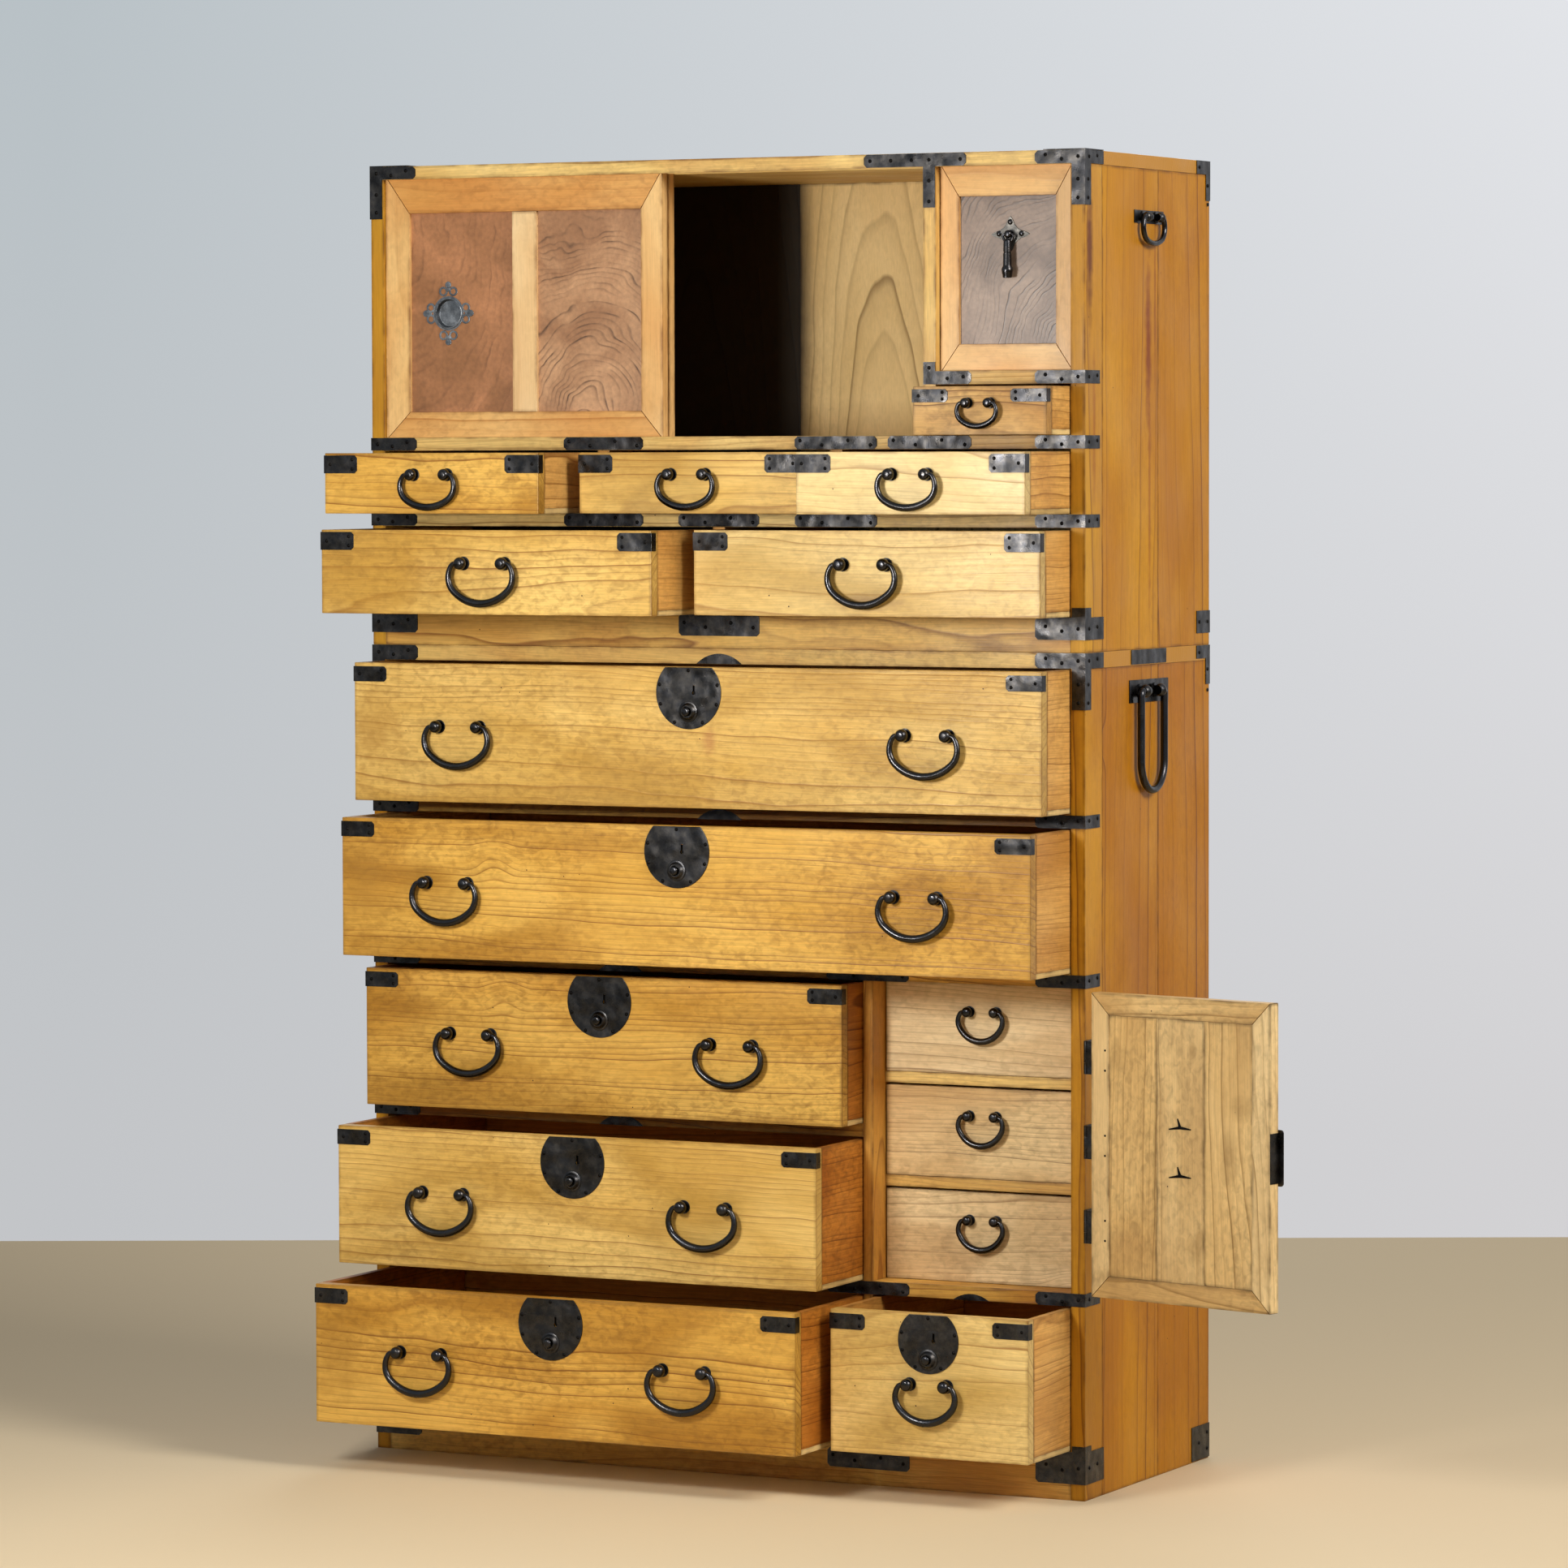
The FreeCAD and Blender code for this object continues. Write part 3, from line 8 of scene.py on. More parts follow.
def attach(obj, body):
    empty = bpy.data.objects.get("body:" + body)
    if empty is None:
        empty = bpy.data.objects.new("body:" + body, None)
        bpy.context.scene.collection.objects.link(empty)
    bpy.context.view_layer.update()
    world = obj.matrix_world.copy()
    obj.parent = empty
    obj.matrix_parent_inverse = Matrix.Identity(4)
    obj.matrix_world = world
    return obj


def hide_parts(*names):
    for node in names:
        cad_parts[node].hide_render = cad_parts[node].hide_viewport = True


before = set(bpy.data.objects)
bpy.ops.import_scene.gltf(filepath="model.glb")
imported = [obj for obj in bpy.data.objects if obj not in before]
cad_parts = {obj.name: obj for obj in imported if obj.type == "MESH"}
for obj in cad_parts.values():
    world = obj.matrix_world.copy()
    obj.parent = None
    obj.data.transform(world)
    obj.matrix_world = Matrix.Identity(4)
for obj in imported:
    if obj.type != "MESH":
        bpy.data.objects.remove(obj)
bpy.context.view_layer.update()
random.seed(1868)

# --- camera -----------------------------------------------------------------------
# Eye level is at about three quarters of the chest's height, well to the right of its middle,
# and the view is narrow, from nearly nine metres away.
yaw = 0.4649
pitch = 0.0484
roll = -0.0025
look = Vector((-math.sin(yaw) * math.cos(pitch), math.cos(yaw) * math.cos(pitch), -math.sin(pitch)))
right = Vector((math.cos(yaw), math.sin(yaw), 0))
up = right.cross(look)
across = right * math.cos(roll) + up * math.sin(roll)
above = up * math.cos(roll) - right * math.sin(roll)
camera_data = bpy.data.cameras.new("camera")
camera_data.sensor_width = 36
camera_data.lens = 148.37
camera_data.shift_x = 0.00137
camera_data.shift_y = -0.0106
camera_data.clip_end = 60
camera = bpy.data.objects.new("camera", camera_data)
turn = Matrix((across, above, -look)).transposed().to_4x4()
eye_point = (3.9162, -7.8296, 1.3589)
camera.matrix_world = Matrix.Translation(eye_point) @ turn
bpy.context.scene.collection.objects.link(camera)
bpy.context.scene.camera = camera

# --- studio -----------------------------------------------------------------------
# A plain pale floor before a pale wall. A small soft lamp stands close in front, just out of
# view, a broad one far behind it fills the shadows, one at the right lights the side and one
# behind lights the back and the top. A little light comes from all round.


def linear(code):
    """An sRGB hex colour as the linear colour that the shaders take."""
    def channel(pair):
        value = int(pair, 16) / 255
        return value / 12.92 if value <= 0.04045 else ((value + 0.055) / 1.055) ** 2.4
    return (channel(code[1:3]), channel(code[3:5]), channel(code[5:7]), 1)


def add_node(tree, kind, inputs=None, ramp=None, **settings):
    """Adds a node, sets its properties and colour stops, and fills or links its sockets."""
    made = tree.nodes.new(kind)
    for name, value in settings.items():
        setattr(made, name, value)
    for socket, value in (inputs or {}).items():
        if isinstance(value, bpy.types.NodeSocket):
            tree.links.new(value, made.inputs[socket])
        else:
            made.inputs[socket].default_value = value
    if ramp:
        stops = made.color_ramp.elements
        while len(stops) < len(ramp):
            stops.new(0.5)
        for stop, (place, shade) in zip(stops, ramp):
            stop.position = place
            stop.color = (shade, shade, shade, 1) if isinstance(shade, float) else shade
    return made


def soft_lamp(name, place, target, width, height, power, tint):
    """A broad rectangular lamp that points at a target."""
    lamp = bpy.data.lights.new(name, "AREA")
    lamp.shape = "RECTANGLE"
    lamp.size = width
    lamp.size_y = height
    lamp.energy = power
    lamp.color = tint
    holder = bpy.data.objects.new(name, lamp)
    holder.visible_camera = False
    aim = (Vector(target) - Vector(place)).to_track_quat("-Z", "Y")
    holder.matrix_world = Matrix.Translation(place) @ aim.to_matrix().to_4x4()
    bpy.context.scene.collection.objects.link(holder)


# The floor's far edge runs square to the view, where the wall would meet it.
bpy.ops.mesh.primitive_plane_add(size=40, location=(7.946, -15.708, 0), rotation=(0, 0, yaw))
floor = bpy.context.object
floor.name = "floor"
floor_paint = bpy.data.materials.new("floor_paint")
floor_paint.use_nodes = True
tree = floor_paint.node_tree
shader = tree.nodes["Principled BSDF"]
shader.inputs["Roughness"].default_value = 0.85
place_on = add_node(tree, "ShaderNodeTexCoord").outputs["Object"]
cloud = add_node(tree, "ShaderNodeTexNoise", {"Vector": place_on, "Scale": 0.6, "Detail": 2.0})
shade = add_node(tree, "ShaderNodeMix", {0: cloud.outputs["Fac"], 6: linear("#e0ccaa"),
                                         7: linear("#e4d0ac")}, data_type="RGBA")
tree.links.new(shade.outputs[2], shader.inputs["Base Color"])
floor.data.materials.append(floor_paint)

soft_lamp("front_lamp", (-0.12, -2.15, 1.33), (0, 0, 1.2), 0.40, 0.40, 26.5, (1.0, 0.985, 0.955))
soft_lamp("fill_lamp", (-0.9, -7.0, 2.6), (0, 0, 0.7), 2.4, 1.8, 55, (1.0, 0.99, 0.97))
soft_lamp("side_lamp", (4.1, -1.2, 3.2), (0.6, 0.3, 0.5), 1.6, 1.8, 176, (1.0, 0.955, 0.88))
soft_lamp("back_lamp", (-1.5, 5.5, 4.5), (0.3, 1.0, 0.2), 3.0, 3.0, 100, (1.0, 0.985, 0.96))
world = bpy.data.worlds.new("studio_air")
bpy.context.scene.world = world
world.use_nodes = True
tree = world.node_tree
air = tree.nodes["Background"]
air.inputs["Color"].default_value = linear("#e6ecf2")
air.inputs["Strength"].default_value = 0.10
# The pale wall is a wash of colour all round, cooler and darker to one side, that gives no light.
way = add_node(tree, "ShaderNodeTexCoord").outputs["Generated"]
aside = add_node(tree, "ShaderNodeVectorMath", {0: way, 1: right}, operation="DOT_PRODUCT")
run = add_node(tree, "ShaderNodeMapRange", {"Value": aside.outputs["Value"], "From Min": -0.110,
                                            "From Max": 0.123})
rise = add_node(tree, "ShaderNodeMapRange",
                {"Value": add_node(tree, "ShaderNodeSeparateXYZ", {0: way}).outputs[2],
                 "From Min": -0.104, "From Max": 0.084})
low = add_node(tree, "ShaderNodeMix", {0: run.outputs[0], 6: linear("#c3c5c8"),
                                       7: linear("#d3d2d4")}, data_type="RGBA")
high = add_node(tree, "ShaderNodeMix", {0: run.outputs[0], 6: linear("#b8c1c6"),
                                        7: linear("#e4e6ea")}, data_type="RGBA")
wash = add_node(tree, "ShaderNodeMix", {0: rise.outputs[0], 6: low.outputs[2], 7: high.outputs[2]},
                data_type="RGBA")
wall = add_node(tree, "ShaderNodeBackground", {"Color": wash.outputs[2], "Strength": 1.0})
path = add_node(tree, "ShaderNodeLightPath")
seen = add_node(tree, "ShaderNodeMath", {0: path.outputs["Is Camera Ray"],
                                         1: path.outputs["Is Glossy Ray"]}, operation="MAXIMUM")
through = add_node(tree, "ShaderNodeMath", {0: seen.outputs[0],
                                            1: path.outputs["Is Transmission Ray"]},
                   operation="MAXIMUM")
either = add_node(tree, "ShaderNodeMixShader", {0: through.outputs[0], 1: air.outputs[0],
                                                2: wall.outputs[0]})
tree.links.new(either.outputs[0], tree.nodes["World Output"].inputs["Surface"])
bpy.context.scene.view_settings.view_transform = "Standard"

# --- upper case -------------------------------------------------------------------
# The carcase is old cedar boards, nailed and dowelled, wiped with oil and gone golden
# brown. The side boards' grain stands upright and the rails' grain runs across.


def softwood(name, pale, deep, line, ring, patch, blush, grime, roughness, spare=1.5, nap=0.1):
    """Planed softwood. Its rings are cut from one log per board, by the board's own grain map.
    Ring is a year's width in metres, patch how blotched it is, spare how few rings are dark, and
    nap how much single fibres show."""
    wood = bpy.data.materials.new(name)
    wood.use_nodes = True
    tree = wood.node_tree
    shader = tree.nodes["Principled BSDF"]
    shader.inputs["Specular IOR Level"].default_value = 0.32
    grain = add_node(tree, "ShaderNodeAttribute", attribute_name="grain").outputs["Vector"]
    tone = add_node(tree, "ShaderNodeAttribute", attribute_name="tone").outputs["Fac"]

    # Each noise's cells per metre along, across and through the board, its detail and distortion.
    noises = {}
    for use, stretch, detail, distortion in (
            ("waver", (2.2, 9, 9), 3.0, 0.0), ("cloud", (3.2, 8, 8), 5.0, 0.4),
            ("stain", (3.2, 9, 9), 4.0, 0.8), ("zone", (2.6, 6, 6), 2.0, 0.0),
            ("fleck", (78, 125, 125), 3.0, 0.6), ("fibre", (20, 620, 620), 3.0, 0.0),
            ("wear", (30, 30, 30), 3.0, 0.0), ("polish", (9, 14, 14), 4.0, 0.0)):
        spread = add_node(tree, "ShaderNodeMapping", {"Vector": grain, "Scale": stretch})
        noises[use] = add_node(tree, "ShaderNodeTexNoise",
                               {"Vector": spread.outputs[0], "Scale": 1.0, "Detail": detail,
                                "Distortion": distortion}).outputs
    # The rings waver by up to 12 mm over the length of a board.
    waver = add_node(tree, "ShaderNodeVectorMath",
                     {0: noises["waver"]["Color"], 1: (0.5, 0.5, 0.5)},
                     operation="SUBTRACT")
    bend = add_node(tree, "ShaderNodeVectorMath", {0: waver.outputs[0], 1: (0, 0.032, 0.032)},
                    operation="MULTIPLY")
    bent = add_node(tree, "ShaderNodeVectorMath", {0: grain, 1: bend.outputs[0]}, operation="ADD")
    flat = add_node(tree, "ShaderNodeVectorMath", {0: bent.outputs[0], 1: (0, 1, 1)},
                    operation="MULTIPLY")
    radius = add_node(tree, "ShaderNodeVectorMath", {0: flat.outputs[0]}, operation="LENGTH")
    # A few small knots, which the rings swell round.
    face_on = add_node(tree, "ShaderNodeVectorMath", {0: grain, 1: (1, 1.15, 0)},
                       operation="MULTIPLY")
    branch = add_node(tree, "ShaderNodeTexVoronoi", {"Vector": face_on.outputs[0], "Scale": 3.1})
    odds = add_node(tree, "ShaderNodeSeparateColor", {0: branch.outputs["Color"]})
    kept = add_node(tree, "ShaderNodeMath", {0: odds.outputs[0], 1: 0.6}, operation="GREATER_THAN")
    away = add_node(tree, "ShaderNodeMapRange",
                    {"Value": branch.outputs["Distance"], "From Min": 0.0, "From Max": 0.17,
                     "To Min": 0.016, "To Max": 0.0}, interpolation_type="SMOOTHERSTEP")
    swell = add_node(tree, "ShaderNodeMath", {0: away.outputs[0], 1: kept.outputs[0]},
                     operation="MULTIPLY")
    swollen = add_node(tree, "ShaderNodeMath", {0: radius.outputs["Value"], 1: swell.outputs[0]},
                       operation="ADD")
    core = add_node(tree, "ShaderNodeMapRange",
                    {"Value": branch.outputs["Distance"], "From Min": 0.012, "From Max": 0.026,
                     "To Min": 0.8, "To Max": 0.0})
    knot = add_node(tree, "ShaderNodeMath", {0: core.outputs[0], 1: kept.outputs[0]},
                    operation="MULTIPLY")
    count = add_node(tree, "ShaderNodeMath", {0: swollen.outputs[0], 1: ring}, operation="DIVIDE")
    part = add_node(tree, "ShaderNodeMath", {0: count.outputs[0]}, operation="FRACT")
    year = add_node(tree, "ShaderNodeMath", {0: count.outputs[0]}, operation="FLOOR")
    season = add_node(tree, "ShaderNodeTexWhiteNoise", {"W": year.outputs[0]},
                      noise_dimensions="1D")
    strong = add_node(tree, "ShaderNodeMath", {0: season.outputs["Value"], 1: spare},
                      operation="POWER")
    late = add_node(tree, "ShaderNodeValToRGB", {"Fac": part.outputs[0]},
                    ramp=[(0.0, 0.0), (0.35, 0.04), (0.74, 0.28), (0.92, 1.0), (1.0, 0.0)])
    dark_ring = add_node(tree, "ShaderNodeMath", {0: late.outputs["Color"], 1: strong.outputs[0]},
                         operation="MULTIPLY")
    # Slow clouds of colour, and short flecks where the wood was bruised or took more oil.
    cloud = add_node(tree, "ShaderNodeValToRGB", {"Fac": noises["cloud"]["Fac"]},
                     ramp=[(0.34, 0.0), (0.66, 1.0)])
    ground = add_node(tree, "ShaderNodeMix", {0: cloud.outputs["Color"], 6: linear(pale),
                                              7: linear(deep)}, data_type="RGBA")
    ringed = add_node(tree, "ShaderNodeMix", {0: dark_ring.outputs[0], 6: ground.outputs[2],
                                              7: linear(line)}, data_type="RGBA")
    stain = add_node(tree, "ShaderNodeValToRGB", {"Fac": noises["stain"]["Fac"]},
                     ramp=[(0.46, 0.0), (0.68, patch)])
    warm = add_node(tree, "ShaderNodeMix", {0: stain.outputs["Color"], 6: ringed.outputs[2],
                                            7: linear(blush)}, data_type="RGBA")
    zone = add_node(tree, "ShaderNodeValToRGB", {"Fac": noises["zone"]["Fac"]},
                    ramp=[(0.34, 0.1 * patch), (0.60, 0.62 * patch)])
    fleck = add_node(tree, "ShaderNodeValToRGB", {"Fac": noises["fleck"]["Fac"]},
                     ramp=[(0.42, 0.0), (0.72, 1.0)])
    stained = add_node(tree, "ShaderNodeMath",
                       {0: zone.outputs["Color"], 1: fleck.outputs["Color"]}, operation="MULTIPLY")
    flecked = add_node(tree, "ShaderNodeMix", {0: stained.outputs[0], 6: warm.outputs[2],
                                               7: linear(grime)}, data_type="RGBA")
    knotted = add_node(tree, "ShaderNodeMix", {0: knot.outputs[0], 6: flecked.outputs[2],
                                               7: linear(line)}, data_type="RGBA")
    fibre = add_node(tree, "ShaderNodeMapRange",
                     {"Value": noises["fibre"]["Fac"], "From Min": 0.3, "From Max": 0.7,
                      "To Min": 1 - 1.2 * nap, "To Max": 1 + nap})
    # A board of a low tone is not only darker but also a deeper gold.
    depth = add_node(tree, "ShaderNodeMath", {0: tone, 1: -2.2, 2: 3.2}, operation="MULTIPLY_ADD")
    deeper = add_node(tree, "ShaderNodeGamma",
                      {"Color": knotted.outputs[2], "Gamma": depth.outputs[0]})
    toned = add_node(tree, "ShaderNodeVectorMath",
                     {0: deeper.outputs[0], "Scale": fibre.outputs[0]}, operation="SCALE")
    # Beetle holes and nail pricks, about a millimetre wide.
    cell = add_node(tree, "ShaderNodeTexVoronoi", {"Vector": grain, "Scale": 34.0})
    prick = add_node(tree, "ShaderNodeMath", {0: cell.outputs["Distance"], 1: 0.032},
                     operation="LESS_THAN")
    chance = add_node(tree, "ShaderNodeSeparateColor", {0: cell.outputs["Color"]})
    few = add_node(tree, "ShaderNodeMath", {0: chance.outputs[0], 1: 0.62},
                   operation="GREATER_THAN")
    hole = add_node(tree, "ShaderNodeMath", {0: prick.outputs[0], 1: few.outputs[0]},
                    operation="MULTIPLY")
    pricked = add_node(tree, "ShaderNodeMix", {0: hole.outputs[0], 6: toned.outputs[0],
                                               7: linear("#3a1f0c")}, data_type="RGBA")
    # Grime and handling darken the last few millimetres at every edge, where two of a point's
    # three distances from the board's faces are small.
    edge_reach = 0.0045
    from_low = add_node(tree, "ShaderNodeAttribute", attribute_name="from_low").outputs["Vector"]
    from_high = add_node(tree, "ShaderNodeAttribute", attribute_name="from_high").outputs["Vector"]
    nearest = add_node(tree, "ShaderNodeVectorMath", {0: from_low, 1: from_high},
                       operation="MINIMUM")
    counted = add_node(tree, "ShaderNodeVectorMath",
                       {0: nearest.outputs[0], "Scale": 1 / edge_reach}, operation="SCALE")
    capped = add_node(tree, "ShaderNodeVectorMath", {0: counted.outputs[0], 1: (1, 1, 1)},
                      operation="MINIMUM")
    nearness = add_node(tree, "ShaderNodeVectorMath", {0: (1, 1, 1), 1: capped.outputs[0]},
                        operation="SUBTRACT")
    axes = add_node(tree, "ShaderNodeSeparateXYZ", {0: nearness.outputs[0]})
    two = add_node(tree, "ShaderNodeMath", {0: axes.outputs[0], 1: axes.outputs[1]},
                   operation="ADD")
    three = add_node(tree, "ShaderNodeMath", {0: two.outputs[0], 1: axes.outputs[2]},
                     operation="ADD")
    edge = add_node(tree, "ShaderNodeMath", {0: three.outputs[0], 1: 1.0}, operation="SUBTRACT",
                    use_clamp=True)
    uneven = add_node(tree, "ShaderNodeMapRange",
                      {"Value": noises["wear"]["Fac"], "From Min": 0.35, "From Max": 0.65,
                       "To Min": 0.12, "To Max": 0.85})
    worn = add_node(tree, "ShaderNodeMath", {0: edge.outputs[0], 1: uneven.outputs[0]},
                    operation="MULTIPLY")
    edged = add_node(tree, "ShaderNodeMix", {0: worn.outputs[0], 6: pricked.outputs[2],
                                             7: linear(grime)}, data_type="RGBA")
    # The ends of the fibres drink more oil, so end grain is darker.
    ends = add_node(tree, "ShaderNodeSeparateXYZ", {0: nearest.outputs[0]})
    end_grain = add_node(tree, "ShaderNodeMapRange", {"Value": ends.outputs[0], "From Min": 0.0002,
                                                      "From Max": 0.0008, "To Min": 0.74,
                                                      "To Max": 1.0})
    finished = add_node(tree, "ShaderNodeVectorMath",
                        {0: edged.outputs[2], "Scale": end_grain.outputs[0]}, operation="SCALE")
    tree.links.new(finished.outputs[0], shader.inputs["Base Color"])
    polish = add_node(tree, "ShaderNodeMapRange",
                      {"Value": noises["polish"]["Fac"], "From Min": 0.3, "From Max": 0.7,
                       "To Min": roughness - 0.07, "To Max": roughness + 0.1})
    tree.links.new(polish.outputs[0], shader.inputs["Roughness"])
    relief = add_node(tree, "ShaderNodeMath", {0: dark_ring.outputs[0], 1: fibre.outputs[0]},
                      operation="ADD")
    dented = add_node(tree, "ShaderNodeMath", {0: relief.outputs[0], 1: hole.outputs[0]},
                      operation="SUBTRACT")
    bump = add_node(tree, "ShaderNodeBump", {"Height": dented.outputs[0], "Strength": 0.45,
                                             "Distance": 0.0005})
    tree.links.new(bump.outputs[0], shader.inputs["Normal"])
    return wood


def map_log(piece, low, high, along, tone, heart=None):
    """Gives every point its place in the log: along the grain, then across and through the board.
    A board cut near the heart shows arched rings, which a heart of how far off it is asks for."""
    others = [axis for axis in range(3) if axis != along]
    size = [high[axis] - low[axis] for axis in range(3)]
    wide, thin = sorted(others, key=lambda axis: -size[axis])
    centre = (low[wide] + high[wide]) / 2
    pith = random.choice((-1, 1)) * random.uniform(0.35, 1.2) * size[wide] + centre
    depth = random.uniform(0.03, 0.10) + high[thin]
    lean = random.uniform(-0.03, 0.03)
    drift = random.uniform(-0.04, 0.04)
    if heart is not None:
        pith, drift, depth = heart * size[wide] + centre, -0.13, 0.05 + high[thin]
    start = random.uniform(-9, 9)
    mesh = piece.data
    for name in ("grain", "from_low", "from_high"):
        mesh.attributes.new(name, "FLOAT_VECTOR", "POINT")
    mesh.attributes.new("tone", "FLOAT", "POINT")
    grain, from_low, from_high, shade = (mesh.attributes[name].data for name in
                                         ("grain", "from_low", "from_high", "tone"))
    middle = (low[along] + high[along]) / 2
    for index, vertex in enumerate(mesh.vertices):
        point = vertex.co
        run = point[along] - middle
        grain[index].vector = (run + start, point[wide] - pith + lean * run,
                               point[thin] - depth + drift * run)
        shade[index].value = tone
        from_low[index].vector = [point[axis] - low[axis] for axis in (along, wide, thin)]
        from_high[index].vector = [high[axis] - point[axis] for axis in (along, wide, thin)]


def carve(piece, cutter):
    """Cuts another object's shape out of a piece, and removes that object."""
    bpy.ops.object.select_all(action="DESELECT")
    piece.select_set(True)
    bpy.context.view_layer.objects.active = piece
    piece.modifiers.new("cut", "BOOLEAN").object = cutter
    bpy.ops.object.modifier_apply(modifier="cut")
    bpy.data.objects.remove(cutter)


def cut_away(piece, *blocks):
    """Cuts blocks, given by two corners, out of a piece."""
    for low, high in blocks:
        size = [b - a for a, b in zip(low, high)]
        middle = [(a + b) / 2 for a, b in zip(low, high)]
        bpy.ops.mesh.primitive_cube_add(size=1, location=middle, scale=size)
        carve(piece, bpy.context.object)


def board(low, high, along, wood, tone=1.0, easing=0.0007, cuts=(), heart=None):
    """One planed board between two corners, its edges eased, its grain along one axis."""
    low, high = Vector(low), Vector(high)
    bpy.ops.mesh.primitive_cube_add(size=1, location=(low + high) / 2, scale=high - low)
    piece = bpy.context.object
    bpy.ops.object.transform_apply(location=True, rotation=True, scale=True)
    cut_away(piece, *cuts)
    bpy.ops.object.mode_set(mode="EDIT")
    bpy.ops.mesh.select_all(action="SELECT")
    bpy.ops.mesh.bevel(offset=easing, segments=2, affect="EDGES")
    bpy.ops.object.mode_set(mode="OBJECT")
    map_log(piece, low, high, along, tone * random.uniform(0.98, 1.02), heart)
    piece.data.materials.append(wood)
    return piece


def merged(pieces):
    """Joins pieces into the first of them."""
    bpy.ops.object.select_all(action="DESELECT")
    for piece in pieces:
        piece.select_set(True)
    bpy.context.view_layer.objects.active = pieces[0]
    bpy.ops.object.join()
    return pieces[0]


def joined(name, pieces, body, slot, *nodes):
    """Joins pieces into one object that rides on a body and stands for the CAD nodes."""
    whole = merged(pieces)
    whole.name = name
    bpy.ops.object.shade_smooth_by_angle(angle=math.radians(38))
    # Flat faces keep a flat shine up to their eased edges.
    level = whole.modifiers.new("level", "WEIGHTED_NORMAL")
    level.keep_sharp = True
    bpy.ops.object.modifier_apply(modifier="level")
    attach(whole, body)
    if nodes:
        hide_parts(*nodes)
    return whole


X, Y, Z = 0, 1, 2
side_x = 0.530
inside_x = 0.510
front_y = -0.206
back_y = 0.206
panel_y = 0.198
seam_z = 1.102
top_z = 1.750
cupboard_top = 1.732
cupboard_floor = 1.383
lift_out_floor = 1.467
triple_floor = 1.281
triple_row = 0.084
pair_floor = 1.148
pair_row = 0.115
bay_left = 0.318
cupboard_right = 0.300
triple_width = 0.328
rail_thick = 0.018
rail_depth = 0.045
dust_thick = 0.008

oiled_cedar = softwood("oiled_cedar", "#d29a44", "#b9802e", "#7c4a18", ring=0.0100, patch=0.5,
                       blush="#a8641f", grime="#5f3611", roughness=0.4)
side_cedar_board = softwood("case_side_cedar", "#c28b22", "#b3791b", "#6b3a10", ring=0.0150,
                            patch=0.22, blush="#99611a", grime="#5f3611", roughness=0.4, spare=3.6,
                            nap=0.07)
# Dust and wear have taken the shine off the outside of the case.
side_finish = side_cedar_board.node_tree.nodes["Principled BSDF"]
side_finish.inputs["Specular IOR Level"].default_value = 0.16
rail_cedar = softwood("waxed_cedar", "#ecca7e", "#d6ad5c", "#93692f", ring=0.0062, patch=0.5,
                      blush="#bd8440", grime="#6a4419", roughness=0.42, spare=1.5, nap=0.13)
dim_cedar = softwood("unfinished_cedar", "#ebcd90", "#d8b878", "#8a6d3c", ring=0.0120, patch=0.25,
                     blush="#c4a264", grime="#5a4020", roughness=0.6, spare=2.0, nap=0.05)
# A pale wood whose inner face is painted nearly black below, as painted shadow.
shadow_painted_cedar = softwood("sooted_cedar", "#e6c688", "#d2b070", "#86683a", ring=0.0120, patch=0.25,
                       blush="#c4a264", grime="#5a4020", roughness=0.6, spare=2.0, nap=0.05)


def streak(wood, place, half, colour, strength, ragged=1.0):
    """A soft patch of colour in a wood, used for stains and also for painted shade, at one place on
    the case and with half sizes along its axes.
    """
    tree = wood.node_tree
    shader = tree.nodes["Principled BSDF"]
    before = shader.inputs["Base Color"].links[0].from_socket
    place_on = add_node(tree, "ShaderNodeTexCoord").outputs["Object"]
    torn = add_node(tree, "ShaderNodeTexNoise", {"Vector": place_on, "Scale": 45.0, "Detail": 3.0})
    edge = add_node(tree, "ShaderNodeMath",
                    {0: torn.outputs["Fac"], 1: ragged, 2: 0.5 - ragged / 2},
                    operation="MULTIPLY_ADD")
    moved = add_node(tree, "ShaderNodeVectorMath", {0: place_on, 1: place}, operation="SUBTRACT")
    counted = add_node(tree, "ShaderNodeVectorMath",
                       {0: moved.outputs[0], 1: [1 / size if size else 0 for size in half]},
                       operation="MULTIPLY")
    away = add_node(tree, "ShaderNodeVectorMath", {0: counted.outputs[0]}, operation="LENGTH")
    rough_edge = add_node(tree, "ShaderNodeMath", {0: away.outputs["Value"], 1: edge.outputs[0]},
                          operation="ADD")
    mask = add_node(tree, "ShaderNodeMapRange", {"Value": rough_edge.outputs[0], "From Min": 0.75,
                                                 "From Max": 1.5, "To Min": strength,
                                                 "To Max": 0.0})
    mixed = add_node(tree, "ShaderNodeMix", {0: mask.outputs[0], 6: before, 7: linear(colour)},
                     data_type="RGBA")
    tree.links.new(mixed.outputs[2], shader.inputs["Base Color"])


# Resin has run dark below the ring plate and down the front edge under the top corner iron.
streak(side_cedar_board, (0, 0.000, 1.505), (0, 0.0130, 0.135), "#7a3a10", 0.9)
streak(side_cedar_board, (0, 0.004, 1.300), (0, 0.0060, 0.200), "#8a4a16", 0.6)
streak(side_cedar_board, (0, 0.022, 1.560), (0, 0.0045, 0.150), "#7a3810", 0.6)
streak(side_cedar_board, (0, -0.190, 1.620), (0, 0.0130, 0.105), "#5c2a10", 0.9)
streak(side_cedar_board, (0, -0.176, 1.395), (0, 0.0070, 0.120), "#8a4a1a", 0.6)
# Handling has browned the ends of the top and of the rails, where they show in the sides.
for sign in (-1, 1):
    streak(rail_cedar, (sign * side_x, 0, 0), (0.0015, 0, 0), "#b37f2a", 1.0)
